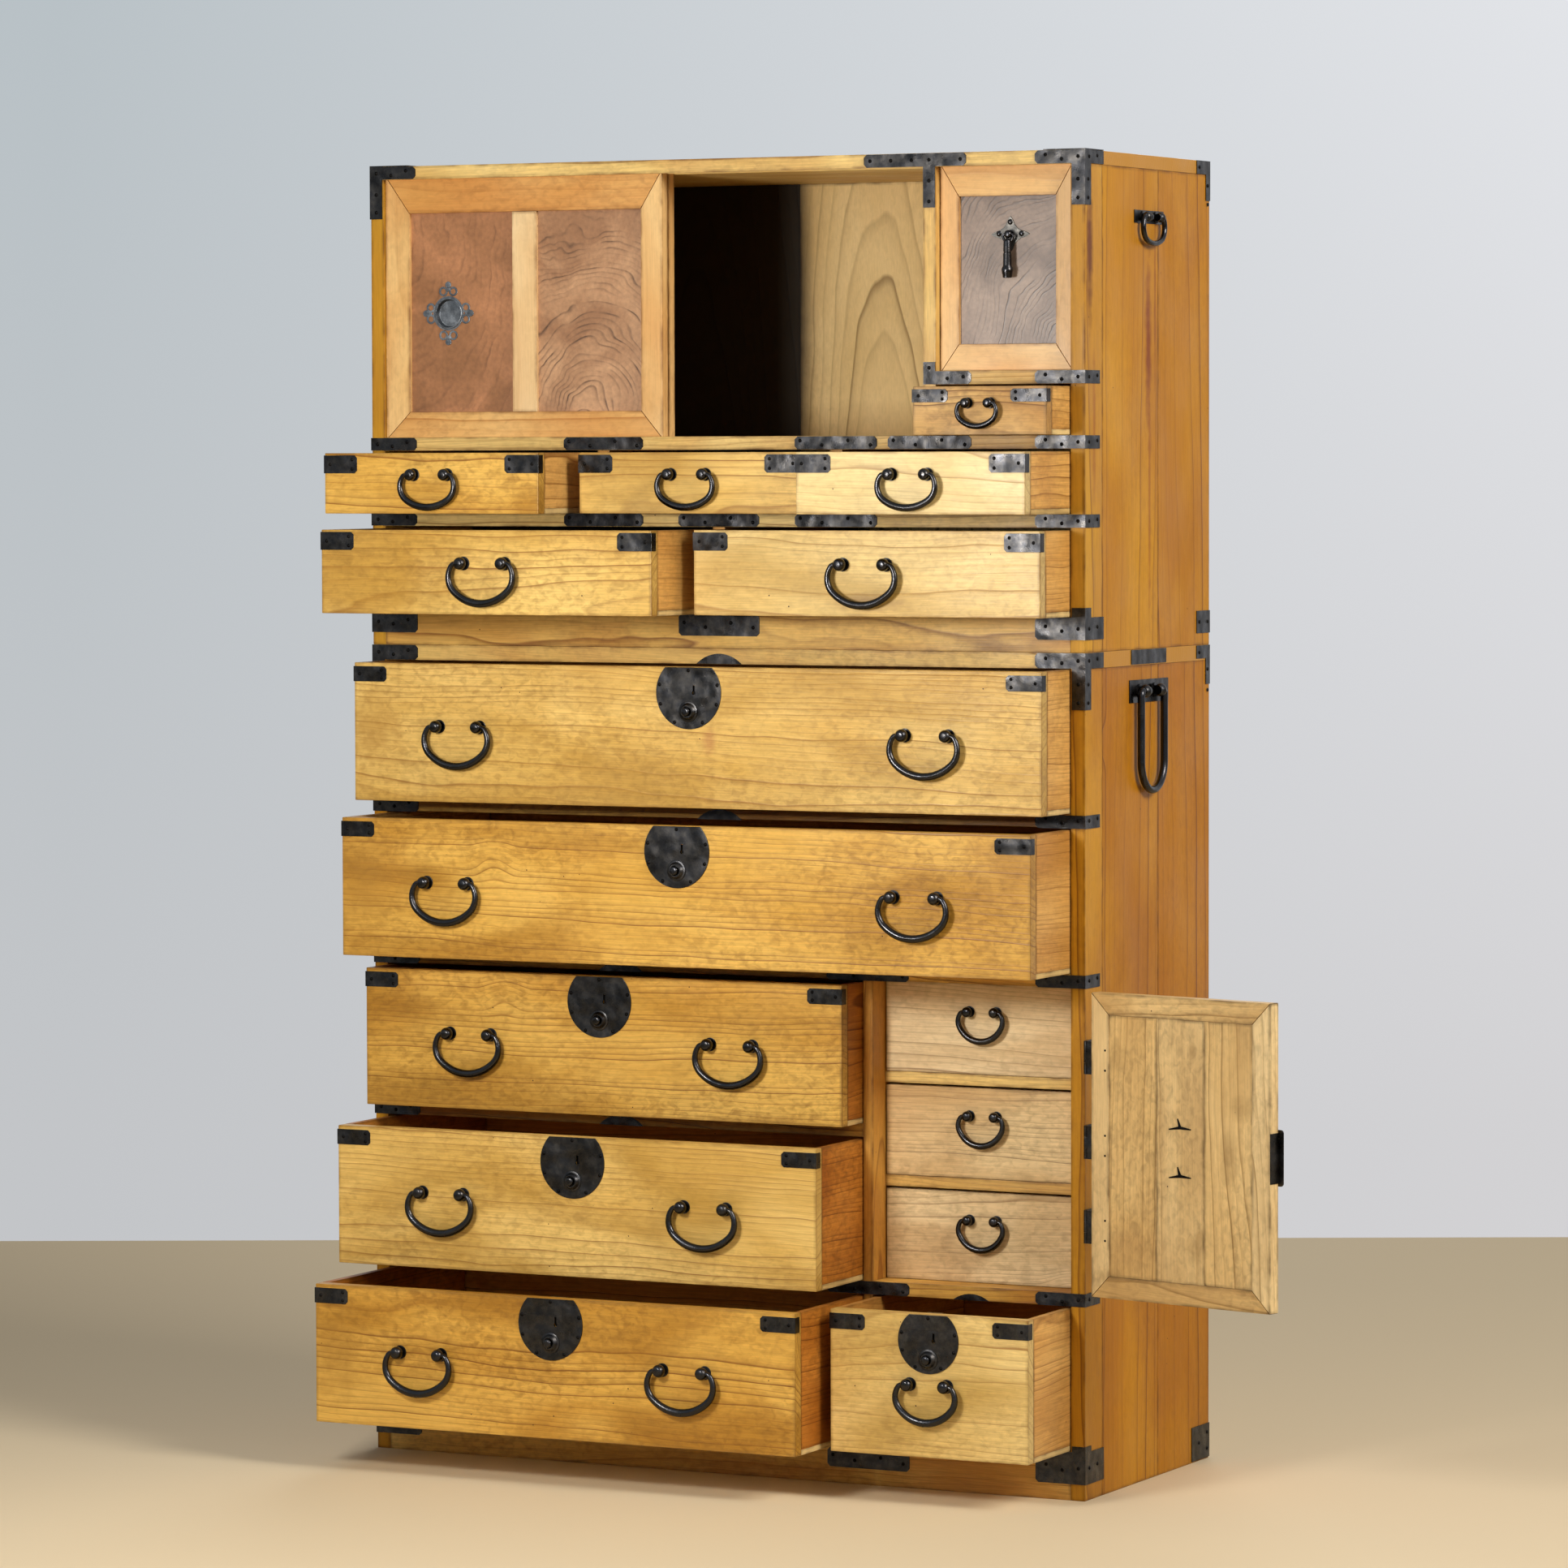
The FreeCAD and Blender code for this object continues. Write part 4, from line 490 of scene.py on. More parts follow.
# A painted shadow blackens the inner face of the left back board and fades across the left edge of
# the pale board beside it, where the sliding doors shade the cupboard's back.
streak(shadow_painted_cedar, (0, 0.198, 0), (0, 0.004, 0), "#0c0704", 0.97, 0.12)
streak(dim_cedar, (-0.090, 0.200, 1.56), (0.034, 0.060, 0.400), "#1c120a", 1.0, 0.12)


def side_boards(z0, z1):
    """Front stile and side boards at both sides; the side is two boards edge to edge."""
    stile_back, side_joint = front_y + 0.056, 0.032
    boards = []
    for sign in (-1, 1):
        x0, x1 = sorted((sign * inside_x, sign * side_x))
        for y0, y1, tone in ((front_y, stile_back, 1.06), (stile_back, side_joint, 1.01),
                             (side_joint, back_y, 0.97)):
            tone = tone if z0 else tone - 0.05
            boards.append(board((x0, y0, z0), (x1, y1, z1), Z, side_cedar_board, tone))
    return boards


def front_rail(x0, x1, top, thick=rail_thick, front=front_y, cuts=(), tone=1.0):
    """A front rail, and the thin dust board behind it that a drawer runs on."""
    return [board((x0, front, top - thick), (x1, front + rail_depth, top), X, rail_cedar, tone,
                  cuts=cuts),
            board((x0, front + rail_depth, top - dust_thick), (x1, panel_y, top), X, dim_cedar)]


def upright(x0, x1, z0, z1):
    """A divider that stands between two rails, and its part above the rail's back edge."""
    above_rail = rail_thick - dust_thick
    return [board((x0, front_y, z0), (x1, panel_y, z1), Z, oiled_cedar, 1.04),
            board((x0, front_y + rail_depth, z1), (x1, panel_y, z1 + above_rail), Z, oiled_cedar)]


def base_boards(z0, z1):
    """Front and back base rails with the floor board between them."""
    thick = 0.02
    return [board((-inside_x, front_y, z0), (inside_x, front_y + thick, z1), X, rail_cedar, 0.88),
            board((-inside_x, front_y + thick, z1 - dust_thick), (inside_x, panel_y, z1), X,
                  dim_cedar),
            board((-inside_x, panel_y - thick, z0), (inside_x, panel_y, z1 - dust_thick), X,
                  oiled_cedar)]


groove_y = ((-0.202, -0.1854), (-0.1824, -0.1658))
lift_groove = (-0.1943, -0.1777)
top_groove = 0.010
sill_groove = 0.003
clearance = 0.001
door_run = [((-inside_x, y0, cupboard_top - clearance),
             (cupboard_right, y1, cupboard_top + top_groove))
            for y0, y1 in groove_y]
door_run.append(((bay_left, lift_groove[0], cupboard_top - clearance),
                 (inside_x, lift_groove[1], cupboard_top + top_groove)))
upper = side_boards(seam_z, cupboard_top)
upper.append(board((-side_x, front_y, cupboard_top), (side_x, back_y, top_z), X, rail_cedar, 1.02,
                   cuts=door_run))
upper += base_boards(seam_z, pair_floor)
upper += front_rail(-inside_x, inside_x, cupboard_floor,
                    cuts=[((-inside_x, y0, cupboard_floor - sill_groove),
                           (cupboard_right, y1, cupboard_floor + clearance))
                          for y0, y1 in groove_y])
upper += front_rail(bay_left, inside_x, lift_out_floor,
                    cuts=[((bay_left, lift_groove[0], lift_out_floor - sill_groove),
                           (inside_x, lift_groove[1], lift_out_floor + clearance))])
upper += front_rail(-inside_x, inside_x, triple_floor)
back_joints = (-inside_x, -0.080, 0.130, inside_x)
# The left back board carries the painted shadow inside the cupboard.
for x0, x1, wood in zip(back_joints, back_joints[1:], (shadow_painted_cedar, dim_cedar, dim_cedar)):
    upper.append(board((x0, panel_y, seam_z), (x1, back_y, cupboard_top), Z, wood, 1.0, heart=0.12))
upper.append(board((cupboard_right, front_y, cupboard_floor), (bay_left, panel_y, cupboard_top), Z,
                   rail_cedar, 1.0))
divider = 0.018
upper += upright(-divider / 2, divider / 2, pair_floor, pair_floor + pair_row)
for bay in (1, 2):
    edge_x = -inside_x + bay * triple_width + (bay - 1) * divider
    upper += upright(edge_x, edge_x + divider, triple_floor, triple_floor + triple_row)
joined("upper_carcase", upper, "case", "case_wood", "upper_case")

# --- lower case -------------------------------------------------------------------
# The same boards and joints, with a thicker top board that carries the upper case, five
# rows of drawers on the left, and the hinged door's compartment on the right.
lower_top = 1.081
lower_row = 0.1894
base_top = 0.064
lower_floors = [base_top + row * (lower_row + rail_thick) for row in range(5)]
post_left = 0.211
post_right = 0.225
compartment_top = lower_floors[2] + lower_row
inner_rail = 0.015
inner_front = front_y + 0.038
inner_row = (compartment_top - lower_floors[1] - 2 * inner_rail) / 3
inner_floors = [lower_floors[1] + row * (inner_row + inner_rail) for row in range(3)]
lower = side_boards(0, lower_top)
lower.append(board((-side_x, front_y, lower_top), (side_x, back_y, seam_z), X, rail_cedar, 0.95))
lower.append(board((-inside_x, panel_y, 0), (inside_x, back_y, lower_top), Z, dim_cedar, 0.8))
lower += base_boards(0, base_top)
# The lower front rails are painted darker, as painted shade under the drawers that stand out above
# them.
for x0, x1, level in ((-inside_x, inside_x, lower_floors[4]),
                      (-inside_x, inside_x, lower_floors[3]),
                      (-inside_x, post_left, lower_floors[2]),
                      (-inside_x, post_left, lower_floors[1]),
                      (post_right, inside_x, lower_floors[1])):
    lower += front_rail(x0, x1, level, tone=0.78)
lower += upright(post_left, post_right, base_top, compartment_top)
for level in inner_floors[1:]:
    lower += front_rail(post_right, inside_x, level, inner_rail, inner_front)
joined("lower_carcase", lower, "case", "case_wood", "lower_case")

# --- upper drawers ----------------------------------------------------------------
# Six small drawers: paler cedar fronts with brown patches, thin sides and a bottom nailed on
# from below. Iron straps, each held by three nails, wrap both top corners of the front.
drawer_gap = 0.0015
drawer_lift = 0.0003
drawer_slack = 0.003
drawer_front = 0.018
drawer_side = 0.010
drawer_bottom = 0.007
drawer_depth = 0.398
golden_cedar = softwood("golden_cedar", "#ecc878", "#d6ab56", "#8e5c26", ring=0.0064, patch=0.74,
                        blush="#b58b3c", grime="#8c652b", roughness=0.36, spare=1.1, nap=0.10)
grey_cedar = softwood("shaded_cedar", "#ecd09c", "#d2ad78", "#86643f", ring=0.0052, patch=0.6,
                      blush="#c09a62", grime="#7d6038", roughness=0.5, spare=1.2, nap=0.10)
side_cedar = softwood("drawer_side_cedar", "#dfb26c", "#c7954e", "#8c5e28", ring=0.0056, patch=0.5,
                      blush="#b07c3c", grime="#6a4219", roughness=0.5, spare=1.2, nap=0.13)
# Hands have darkened the wood under one bail.
streak(golden_cedar, (0.262, 0, 1.166), (0.062, 0, 0.013), "#7d5631", 0.55)


def iron_finish(name, dark, light, rough, sway=0.0035):
    """Wrought iron, hammered flat and baked with oil: black, dimpled, a little brown on top.
    Its sway says how far the sheet is from flat."""
    iron = bpy.data.materials.new(name)
    iron.use_nodes = True
    tree = iron.node_tree
    shader = tree.nodes["Principled BSDF"]
    shader.inputs["Metallic"].default_value = 1.0
    place_on = add_node(tree, "ShaderNodeTexCoord").outputs["Object"]
    scale = add_node(tree, "ShaderNodeTexNoise", {"Vector": place_on, "Scale": 90.0, "Detail": 6.0,
                                                  "Roughness": 0.65})
    bloom = add_node(tree, "ShaderNodeValToRGB", {"Fac": scale.outputs["Fac"]},
                     ramp=[(0.42, 0.0), (0.72, 1.0)])
    skin = add_node(tree, "ShaderNodeMix", {0: bloom.outputs["Color"], 6: linear(dark),
                                            7: linear(light)}, data_type="RGBA")
    tree.links.new(skin.outputs[2], shader.inputs["Base Color"])
    polish = add_node(tree, "ShaderNodeMapRange",
                      {"Value": add_node(tree, "ShaderNodeTexNoise",
                                         {"Vector": place_on, "Scale": 40.0,
                                          "Detail": 4.0}).outputs["Fac"],
                       "From Min": 0.3, "From Max": 0.7, "To Min": rough - 0.1,
                       "To Max": rough + 0.14})
    tree.links.new(polish.outputs[0], shader.inputs["Roughness"])
    # Hammer dimples are about 7 mm across, and the scale's pits about half a millimetre.
    dimple = add_node(tree, "ShaderNodeTexVoronoi", {"Vector": place_on, "Scale": 140.0},
                      feature="SMOOTH_F1")
    pit = add_node(tree, "ShaderNodeTexNoise", {"Vector": place_on, "Scale": 900.0, "Detail": 2.0})
    height = add_node(tree, "ShaderNodeMath", {0: dimple.outputs["Distance"],
                                               1: pit.outputs["Fac"]}, operation="ADD")
    bump = add_node(tree, "ShaderNodeBump", {"Height": height.outputs[0], "Strength": 0.3,
                                             "Distance": 0.0004})
    # The sheet itself waves by a few tenths of a millimetre every 30 mm.
    wave = add_node(tree, "ShaderNodeTexNoise", {"Vector": place_on, "Scale": 34.0, "Detail": 1.0})
    sheet = add_node(tree, "ShaderNodeBump", {"Height": wave.outputs["Fac"], "Strength": 0.8,
                                              "Distance": sway, "Normal": bump.outputs[0]})
    tree.links.new(sheet.outputs[0], shader.inputs["Normal"])
    return iron


baked_iron = iron_finish("baked_iron_plate", "#323234", "#4a4744", 0.30)
polished_iron = iron_finish("hand_polished_iron", "#38383b", "#3e3b38", 0.20, 0.0008)
nail_iron = iron_finish("nail_iron", "#161515", "#22201e", 0.50, 0.0)


def pick(piece, kind, test):
    """Goes into edit mode with those vertices, edges or faces selected whose middle passes."""
    bpy.ops.object.mode_set(mode="EDIT")
    bpy.ops.mesh.select_mode(type=kind)
    bpy.ops.mesh.select_all(action="DESELECT")
    bpy.ops.object.mode_set(mode="OBJECT")
    mesh = piece.data
    if kind == "FACE":
        for face in mesh.polygons:
            face.select = test(face.center)
    elif kind == "EDGE":
        for edge in mesh.edges:
            edge.select = test(sum((mesh.vertices[end].co for end in edge.vertices), Vector()) / 2)
    else:
        for vertex in mesh.vertices:
            vertex.select = test(vertex.co)
    bpy.ops.object.mode_set(mode="EDIT")


def edge_all(piece, width):
    """Eases every edge that turns by more than 40 degrees."""
    bpy.context.view_layer.objects.active = piece
    ease = piece.modifiers.new("ease", "BEVEL")
    ease.width = width
    ease.segments = 2
    ease.limit_method = "ANGLE"
    ease.angle_limit = math.radians(40)
    bpy.ops.object.modifier_apply(modifier="ease")


def iron_block(low, high):
    """A rough block of iron between two corners, to be shaped further."""
    low, high = Vector(low), Vector(high)
    bpy.ops.object.select_all(action="DESELECT")
    bpy.ops.mesh.primitive_cube_add(size=1, location=(low + high) / 2, scale=high - low)
    block = bpy.context.object
    bpy.ops.object.transform_apply(location=True, rotation=True, scale=True)
    block.data.materials.append(baked_iron)
    return block


strap_long = 0.050
strap_thick = 0.001


def corner_strap(sign, height):
    """A drawer's strap: its outer top corner is the origin, and sign is the side that it wraps."""
    bar = iron_block((-strap_long, -strap_thick, -height), (strap_thick, 0, 0))
    # The two corners of its inner end are clipped.
    pick(bar, "EDGE", lambda at: at.x < 0.001 - strap_long and abs(at.y + strap_thick / 2) < 0.0002
         and abs(at.z + height / 2) > height / 2 - 0.0002)
    bpy.ops.mesh.bevel(offset=0.0036, segments=1, affect="EDGES")
    bpy.ops.object.mode_set(mode="OBJECT")
    wrap = iron_block((0, -strap_thick / 2, -height), (strap_thick, 0.012, 0))
    bar = merged([bar, wrap])
    edge_all(bar, 0.00025)
    if sign < 0:
        bpy.ops.object.mode_set(mode="EDIT")
        bpy.ops.mesh.select_all(action="SELECT")
        bpy.ops.transform.resize(value=(-1, 1, 1), center_override=(0, 0, 0))
        bpy.ops.mesh.normals_make_consistent(inside=False)
        bpy.ops.object.mode_set(mode="OBJECT")
    return bar


def nail_head(radius):
    """A low domed nail head that points to -Y, with only a few faces."""
    bpy.ops.object.select_all(action="DESELECT")
    bpy.ops.mesh.primitive_uv_sphere_add(segments=8, ring_count=6, radius=radius,
                                         rotation=(math.pi / 2, 0, 0))
    head = bpy.context.object
    bpy.ops.object.transform_apply(location=True, rotation=True, scale=True)
    bpy.ops.object.mode_set(mode="EDIT")
    bpy.ops.mesh.select_all(action="SELECT")
    bpy.ops.mesh.bisect(plane_co=(0, 0.0001, 0), plane_no=(0, 1, 0), clear_outer=True,
                        use_fill=True)
    bpy.ops.mesh.select_all(action="SELECT")
    bpy.ops.transform.resize(value=(1, 0.5, 1), center_override=(0, 0, 0))
    bpy.ops.object.mode_set(mode="OBJECT")
    head.data.materials.append(nail_iron)
    return head


def placed(master, place):
    """A copy of a finished shape with its own mesh, moved by a matrix or to a point."""
    matrix = place if isinstance(place, Matrix) else Matrix.Translation(place)
    copy = bpy.data.objects.new(master.name, master.data.copy())
    copy.data.transform(matrix)
    bpy.context.scene.collection.objects.link(copy)
    return copy


def drawer_boards(x0, x1, floor, row, pulled, wood, tone, front=front_y, depth=drawer_depth,
                  cuts=()):
    """A drawer's five boards."""
    x0, x1 = x0 + drawer_gap, x1 - drawer_gap
    z0, z1 = floor + drawer_lift, floor + row - drawer_slack
    face = front - pulled
    behind, end, base = face + drawer_front, face + depth, z0 + drawer_bottom
    # The sides of the three lower left drawers are painted darker and browner, as painted shade.
    side_tone = 0.62 if floor < 0.6 and x0 < post_left else 0.96
    return [board((x0, face, z0), (x1, behind, z1), X, wood, tone, 0.0010, cuts),
            board((x0, behind, base), (x0 + drawer_side, end, z1), Y, side_cedar, side_tone),
            board((x1 - drawer_side, behind, base), (x1, end, z1), Y, side_cedar, side_tone),
            board((x0 + drawer_side, end - drawer_side, base),
                  (x1 - drawer_side, end, z1 - 0.01), X, side_cedar, 0.9),
            board((x0, behind, z0), (x1, end, base), Y, dim_cedar, 1.0)]


small_nail = nail_head(0.0025)
plate_nail = nail_head(0.0027)


def drawer_irons(x0, x1, floor, row, pulled, height, drop):
    """Straps on both top corners of a drawer front, a little below its top, and their nails."""
    face, top = front_y - pulled, floor + row - drawer_slack - drop
    irons = []
    for sign, edge_x in ((1, x1 - drawer_gap), (-1, x0 + drawer_gap)):
        strap = corner_strap(sign, height)
        strap.data.transform(Matrix.Translation((edge_x, face, top)))
        irons.append(strap)
        for along, up_by in ((0.0085, 0), (0.0425, 0.26), (0.0425, -0.26)):
            irons.append(placed(small_nail, (edge_x - sign * along, face - strap_thick,
                                             top - height / 2 + up_by * height)))
    return irons


small_row = 0.066
# The tones are partly each front's own colour and partly painted light: in the three-drawer and
# two-drawer rows the right-hand fronts are painted lighter, as painted sheen, and the left-hand
# ones darker, as painted shade.
# Ends, floor, row height, how far it stands out, tone, strap height, and the strap's drop.
upper_drawers = {
    "small_drawer": (bay_left, inside_x, cupboard_floor, small_row, 0.073, 0.64, 0.017, 0.0035),
    "upper_left_drawer": (-inside_x, -0.182, triple_floor, triple_row, 0.163, 0.82, 0.024, 0.003),
    "upper_middle_drawer": (-0.164, 0.164, triple_floor, triple_row, 0.088, 0.96, 0.024, 0.003),
    "upper_right_drawer": (0.182, inside_x, triple_floor, triple_row, 0.139, 1.12, 0.024, 0.003),
    "upper_wide_left_drawer": (-inside_x, -0.009, pair_floor, pair_row, 0.173, 0.95, 0.024, 0.003),
    "upper_wide_right_drawer": (0.009, inside_x, pair_floor, pair_row, 0.093, 1.07, 0.024, 0.003),
}
for name, (x0, x1, floor, row, pulled, tone, height, drop) in upper_drawers.items():
    wood = grey_cedar if name == "small_drawer" else golden_cedar
    joined(name + "_wood", drawer_boards(x0, x1, floor, row, pulled, wood, tone), name,
           "drawer_wood", name)
    joined(name + "_straps", drawer_irons(x0, x1, floor, row, pulled, height, drop), name,
           "black_iron")

# --- lower drawers ----------------------------------------------------------------
# Six deep drawers with the same boards. A round iron plate in the middle of each front
# carries the lock: a keyhole, and a push button in a turned boss. The lock's case and bolt
# are nailed to the back of the front board.
lock_centre = 0.034
boss_below = 0.0245
plate_thick = 0.0016
key_x = 0.008
slot_x = (0.0065, 0.0095)
slot_top = 0.010
joint_z = (0.0125, 0.0130)


def iron_disc(radius, thick, sides):
    """A flat round of iron whose face looks to -Y and whose back lies on the origin's plane."""
    bpy.ops.object.select_all(action="DESELECT")
    bpy.ops.mesh.primitive_cylinder_add(vertices=sides, radius=radius, depth=thick,
                                        location=(0, -thick / 2, 0), rotation=(math.pi / 2, 0, 0))
    disc = bpy.context.object
    bpy.ops.object.transform_apply(location=True, rotation=True, scale=True)
    disc.data.materials.append(baked_iron)
    return disc


def step_in(piece, steps):
    """Works the front face of a turned piece inwards, step by step: how far in, how far out."""
    front = min(face.center.y for face in piece.data.polygons)
    pick(piece, "FACE", lambda at: at.y < front + 0.00001)
    for inwards, outwards in steps:
        bpy.ops.mesh.inset(thickness=inwards, depth=outwards)
    bpy.ops.object.mode_set(mode="OBJECT")


def lock_plate(radius):
    """The round plate, cut flat at the top, with its joint line, keyhole, boss and nails."""
    plate = iron_disc(radius, plate_thick, 72)
    bpy.ops.object.mode_set(mode="EDIT")
    bpy.ops.mesh.select_all(action="SELECT")
    bpy.ops.mesh.bisect(plane_co=(0, 0, lock_centre - 0.0005), plane_no=(0, 0, 1), clear_outer=True,
                        use_fill=True)
    bpy.ops.object.mode_set(mode="OBJECT")
    edge_all(plate, 0.0004)
    cut_away(plate, ((slot_x[0], -0.01, 0), (slot_x[1], 0.001, slot_top)),
             ((-radius, -0.01, joint_z[0]), (radius, -plate_thick + 0.0005, joint_z[1])))
    hole = iron_disc(0.0027, 0.01, 16)
    hole.data.transform(Matrix.Translation((key_x, 0.002, 0)))
    carve(plate, hole)
    boss = iron_disc(0.0138, 0.0026, 48)
    step_in(boss, ((0.0008, 0.0006), (0.0018, 0.0002), (0.0014, 0.0026), (0.0016, 0.0014),
                   (0.0012, 0.0), (0.0004, -0.0012), (0.0002, -0.0030)))
    boss.data.transform(Matrix.Translation((0, 0, -boss_below)))
    pieces = [plate, boss]
    nail_ring = radius - 0.004
    for degrees in (14, -20, 166, 200, -62, -118):
        turned = math.radians(degrees)
        pieces.append(placed(plate_nail, (nail_ring * math.cos(turned), -plate_thick,
                                          nail_ring * math.sin(turned))))
    pieces.append(placed(plate_nail, (0, -plate_thick, lock_centre - 0.0045)))
    return merged(pieces)


button_out = 0.0071


def push_button():
    """The lock's push button, domed and hand polished."""
    button = iron_disc(0.0057, 0.0037, 32)
    step_in(button, ((0.0003, 0.0006), (0.0006, 0.0005), (0.0010, 0.0004), (0.0014, 0.0003)))
    button.data.materials[0] = polished_iron
    return button


wide_lock = lock_plate(0.048)
corner_lock = lock_plate(0.043)
button_shape = push_button()
# Rust from the top lock has run into the wood below it.
streak(golden_cedar, (0.030, 0, lower_floors[4] + lower_row - lock_centre - 0.066),
       (0.013, 0, 0.020), "#a5653a", 0.5)
# The left ends of three fronts are darker.
for floor in (lower_floors[4], lower_floors[3], lower_floors[0]):
    streak(golden_cedar, (-0.480, 0, floor + lower_row / 2), (0.055, 0, 0.080), "#a3762e", 0.55)
# Ends, floor, how far it stands out, tone, and lock plate.
lower_drawers = {
    "long_drawer_1": (-inside_x, inside_x, lower_floors[4], 0.088, 0.98, wide_lock),
    "long_drawer_2": (-inside_x, inside_x, lower_floors[3], 0.123, 0.83, wide_lock),
    "lower_drawer_3": (-inside_x, post_left, lower_floors[2], 0.061, 0.83, wide_lock),
    "lower_drawer_4": (-inside_x, post_left, lower_floors[1], 0.138, 1.00, wide_lock),
    "lower_drawer_5": (-inside_x, post_left, lower_floors[0], 0.200, 0.80, wide_lock),
    "corner_drawer": (post_right, inside_x, lower_floors[0], 0.131, 1.08, corner_lock),
}
for name, (x0, x1, floor, pulled, tone, lock) in lower_drawers.items():
    middle, face, top = (x0 + x1) / 2, front_y - pulled, floor + lower_row - drawer_slack
    lock_z = top - lock_centre
    keyway = ((middle + 0.0055, face - 0.01, lock_z - 0.0025),
              (middle + 0.0105, face + 0.03, lock_z + 0.0095))
    boards = drawer_boards(x0, x1, floor, lower_row, pulled, golden_cedar, tone, cuts=[keyway])
    joined(name + "_wood", boards, name, "drawer_wood", name)
    behind = face + drawer_front
    irons = drawer_irons(x0, x1, floor, lower_row, pulled, 0.0205, 0.005)
    irons.append(placed(lock, (middle, face, lock_z)))
    # A near-black block fills the mortise behind the keyhole: it stands for the lock's works and is
    # also painted shade in the hole.
    irons.append(iron_block((middle + 0.0058, face + 0.0015, lock_z - 0.0022),
                            (middle + 0.0102, behind, lock_z + 0.0092)))
    irons[-1].data.materials[0] = nail_iron
    case_top = top - 0.006
    case = iron_block((middle - 0.035, behind, top - 0.064),
                      (middle + 0.035, behind + 0.013, case_top))
    edge_all(case, 0.001)
    bolt = iron_block((middle - 0.012, behind, case_top), (middle + 0.012, behind + 0.006, top))
    edge_all(bolt, 0.0005)
    joined(name + "_irons", irons + [case, bolt], name, "black_iron", name + "_ironwork")
    button = placed(button_shape, (middle, face - button_out, lock_z - boss_below))
    joined(name + "_button", [button], name + "_lock_button", "black_iron", name + "_lock_button")
for master in (small_nail, wide_lock, corner_lock, button_shape):
    bpy.data.objects.remove(master)

# --- inner drawers ----------------------------------------------------------------
# Three plain drawers behind the hinged door, paler because the door keeps the light and the
# smoke away, without straps or locks.
inner_depth = 0.360
for index, (floor, tone) in enumerate(zip(inner_floors[::-1], (1.08, 0.99, 1.04))):
    name = f"inner_drawer_{index + 1}"
    boards = drawer_boards(post_right, inside_x, floor, inner_row, 0, grey_cedar, tone,
                           inner_front, inner_depth)
    joined(name + "_wood", boards, name, "inner_drawer_wood", name)

# --- drawer bails -----------------------------------------------------------------
# Forged fern-shaped bails, thick at the belly and drawn out thin at both ends, which curl in
# and turn in the bores of two round-headed posts riveted through the front.


def bail_curves(half):
    """The radii of a bail's sides and of its curled ends, and how far down it is widest."""
    return 0.54 * half, 0.14 * half, 0.37 * half


def ball_spacing(half, bar, ball):
    """Where a bail's pin ends and where its posts stand, from its own middle."""
    side, curl, widest = bail_curves(half)
    pin_end = half - side + math.sqrt((side - curl) ** 2 - (widest - curl) ** 2)
    return pin_end, pin_end - math.sqrt(ball ** 2 - (bar + 0.0003) ** 2) - 0.0004


def forged_bail(half, drop, bar, ball):
    """A bail in the plane y = 0 with its pins on the X axis, drawn out ring by ring."""
    side, curl, widest = bail_curves(half)
    pin_end, post = ball_spacing(half, bar, ball)
    side_x0 = half - side
    below = drop - widest
    bottom = (side_x0 ** 2 + below ** 2 - side ** 2) / (2 * (below - side))
    curl_turn = math.atan2(widest - curl, pin_end - side_x0)
    join_turn = math.atan2(widest - (drop - bottom), side_x0)
    half_path = [(post - 0.3 * ball, 0), (post + 0.5 * ball, 0), (pin_end, 0)]
    for step in range(1, 7):
        turn = -math.pi / 2 + (math.pi / 2 - curl_turn) * step / 6
        half_path.append((pin_end + curl * math.cos(turn), curl + curl * math.sin(turn)))
    for step in range(1, 9):
        turn = -curl_turn + (join_turn + curl_turn) * step / 8
        half_path.append((side_x0 + side * math.cos(turn), widest + side * math.sin(turn)))
    for step in range(1, 7):
        turn = join_turn + (math.pi / 2 - join_turn) * step / 6
        half_path.append((bottom * math.cos(turn), drop - bottom + bottom * math.sin(turn)))
    path = [Vector((x, 0, -z)) for x, z in half_path]
    path += [Vector((-point.x, 0, point.z)) for point in path[-2::-1]]
    runs = [(b - a).length for a, b in zip(path, path[1:])]
    total = sum(runs)
    bpy.ops.object.select_all(action="DESELECT")
    bpy.ops.mesh.primitive_circle_add(vertices=14, radius=1, fill_type="NGON",
                                      location=path[0], rotation=(0, math.pi / 2, 0))
    bail = bpy.context.object
    bpy.ops.object.transform_apply(location=True, rotation=True, scale=True)
    bpy.ops.object.mode_set(mode="EDIT")
    bpy.ops.mesh.select_all(action="SELECT")

    def thickness(gone):
        return bar * (0.64 + 0.60 * math.sin(math.pi * gone / total) ** 0.9)

    bpy.ops.transform.resize(value=[thickness(0)] * 3, center_override=path[0])
    heading = math.atan2(path[1].z - path[0].z, path[1].x - path[0].x)
    gone = 0
    for index in range(1, len(path)):
        before = path[index] - path[index - 1]
        after = path[index + 1] - path[index] if index + 1 < len(path) else before
        way = before.normalized() + after.normalized()
        turn = math.atan2(way.z, way.x) - heading
        turn = (turn + math.pi) % (2 * math.pi) - math.pi
        heading += turn
        size = thickness(gone + runs[index - 1]) / thickness(gone)
        gone += runs[index - 1]
        bpy.ops.mesh.extrude_region_move(TRANSFORM_OT_translate={"value": before})
        # With no window open, a turn about +Y counts this way round.
        bpy.ops.transform.rotate(value=turn, orient_axis="Y", center_override=path[index])
        bpy.ops.transform.resize(value=(size, size, size), center_override=path[index])
    bpy.ops.mesh.select_all(action="SELECT")
    bpy.ops.mesh.normals_make_consistent(inside=False)
    bpy.ops.object.mode_set(mode="OBJECT")
    bail.data.materials.append(polished_iron)
    return bail


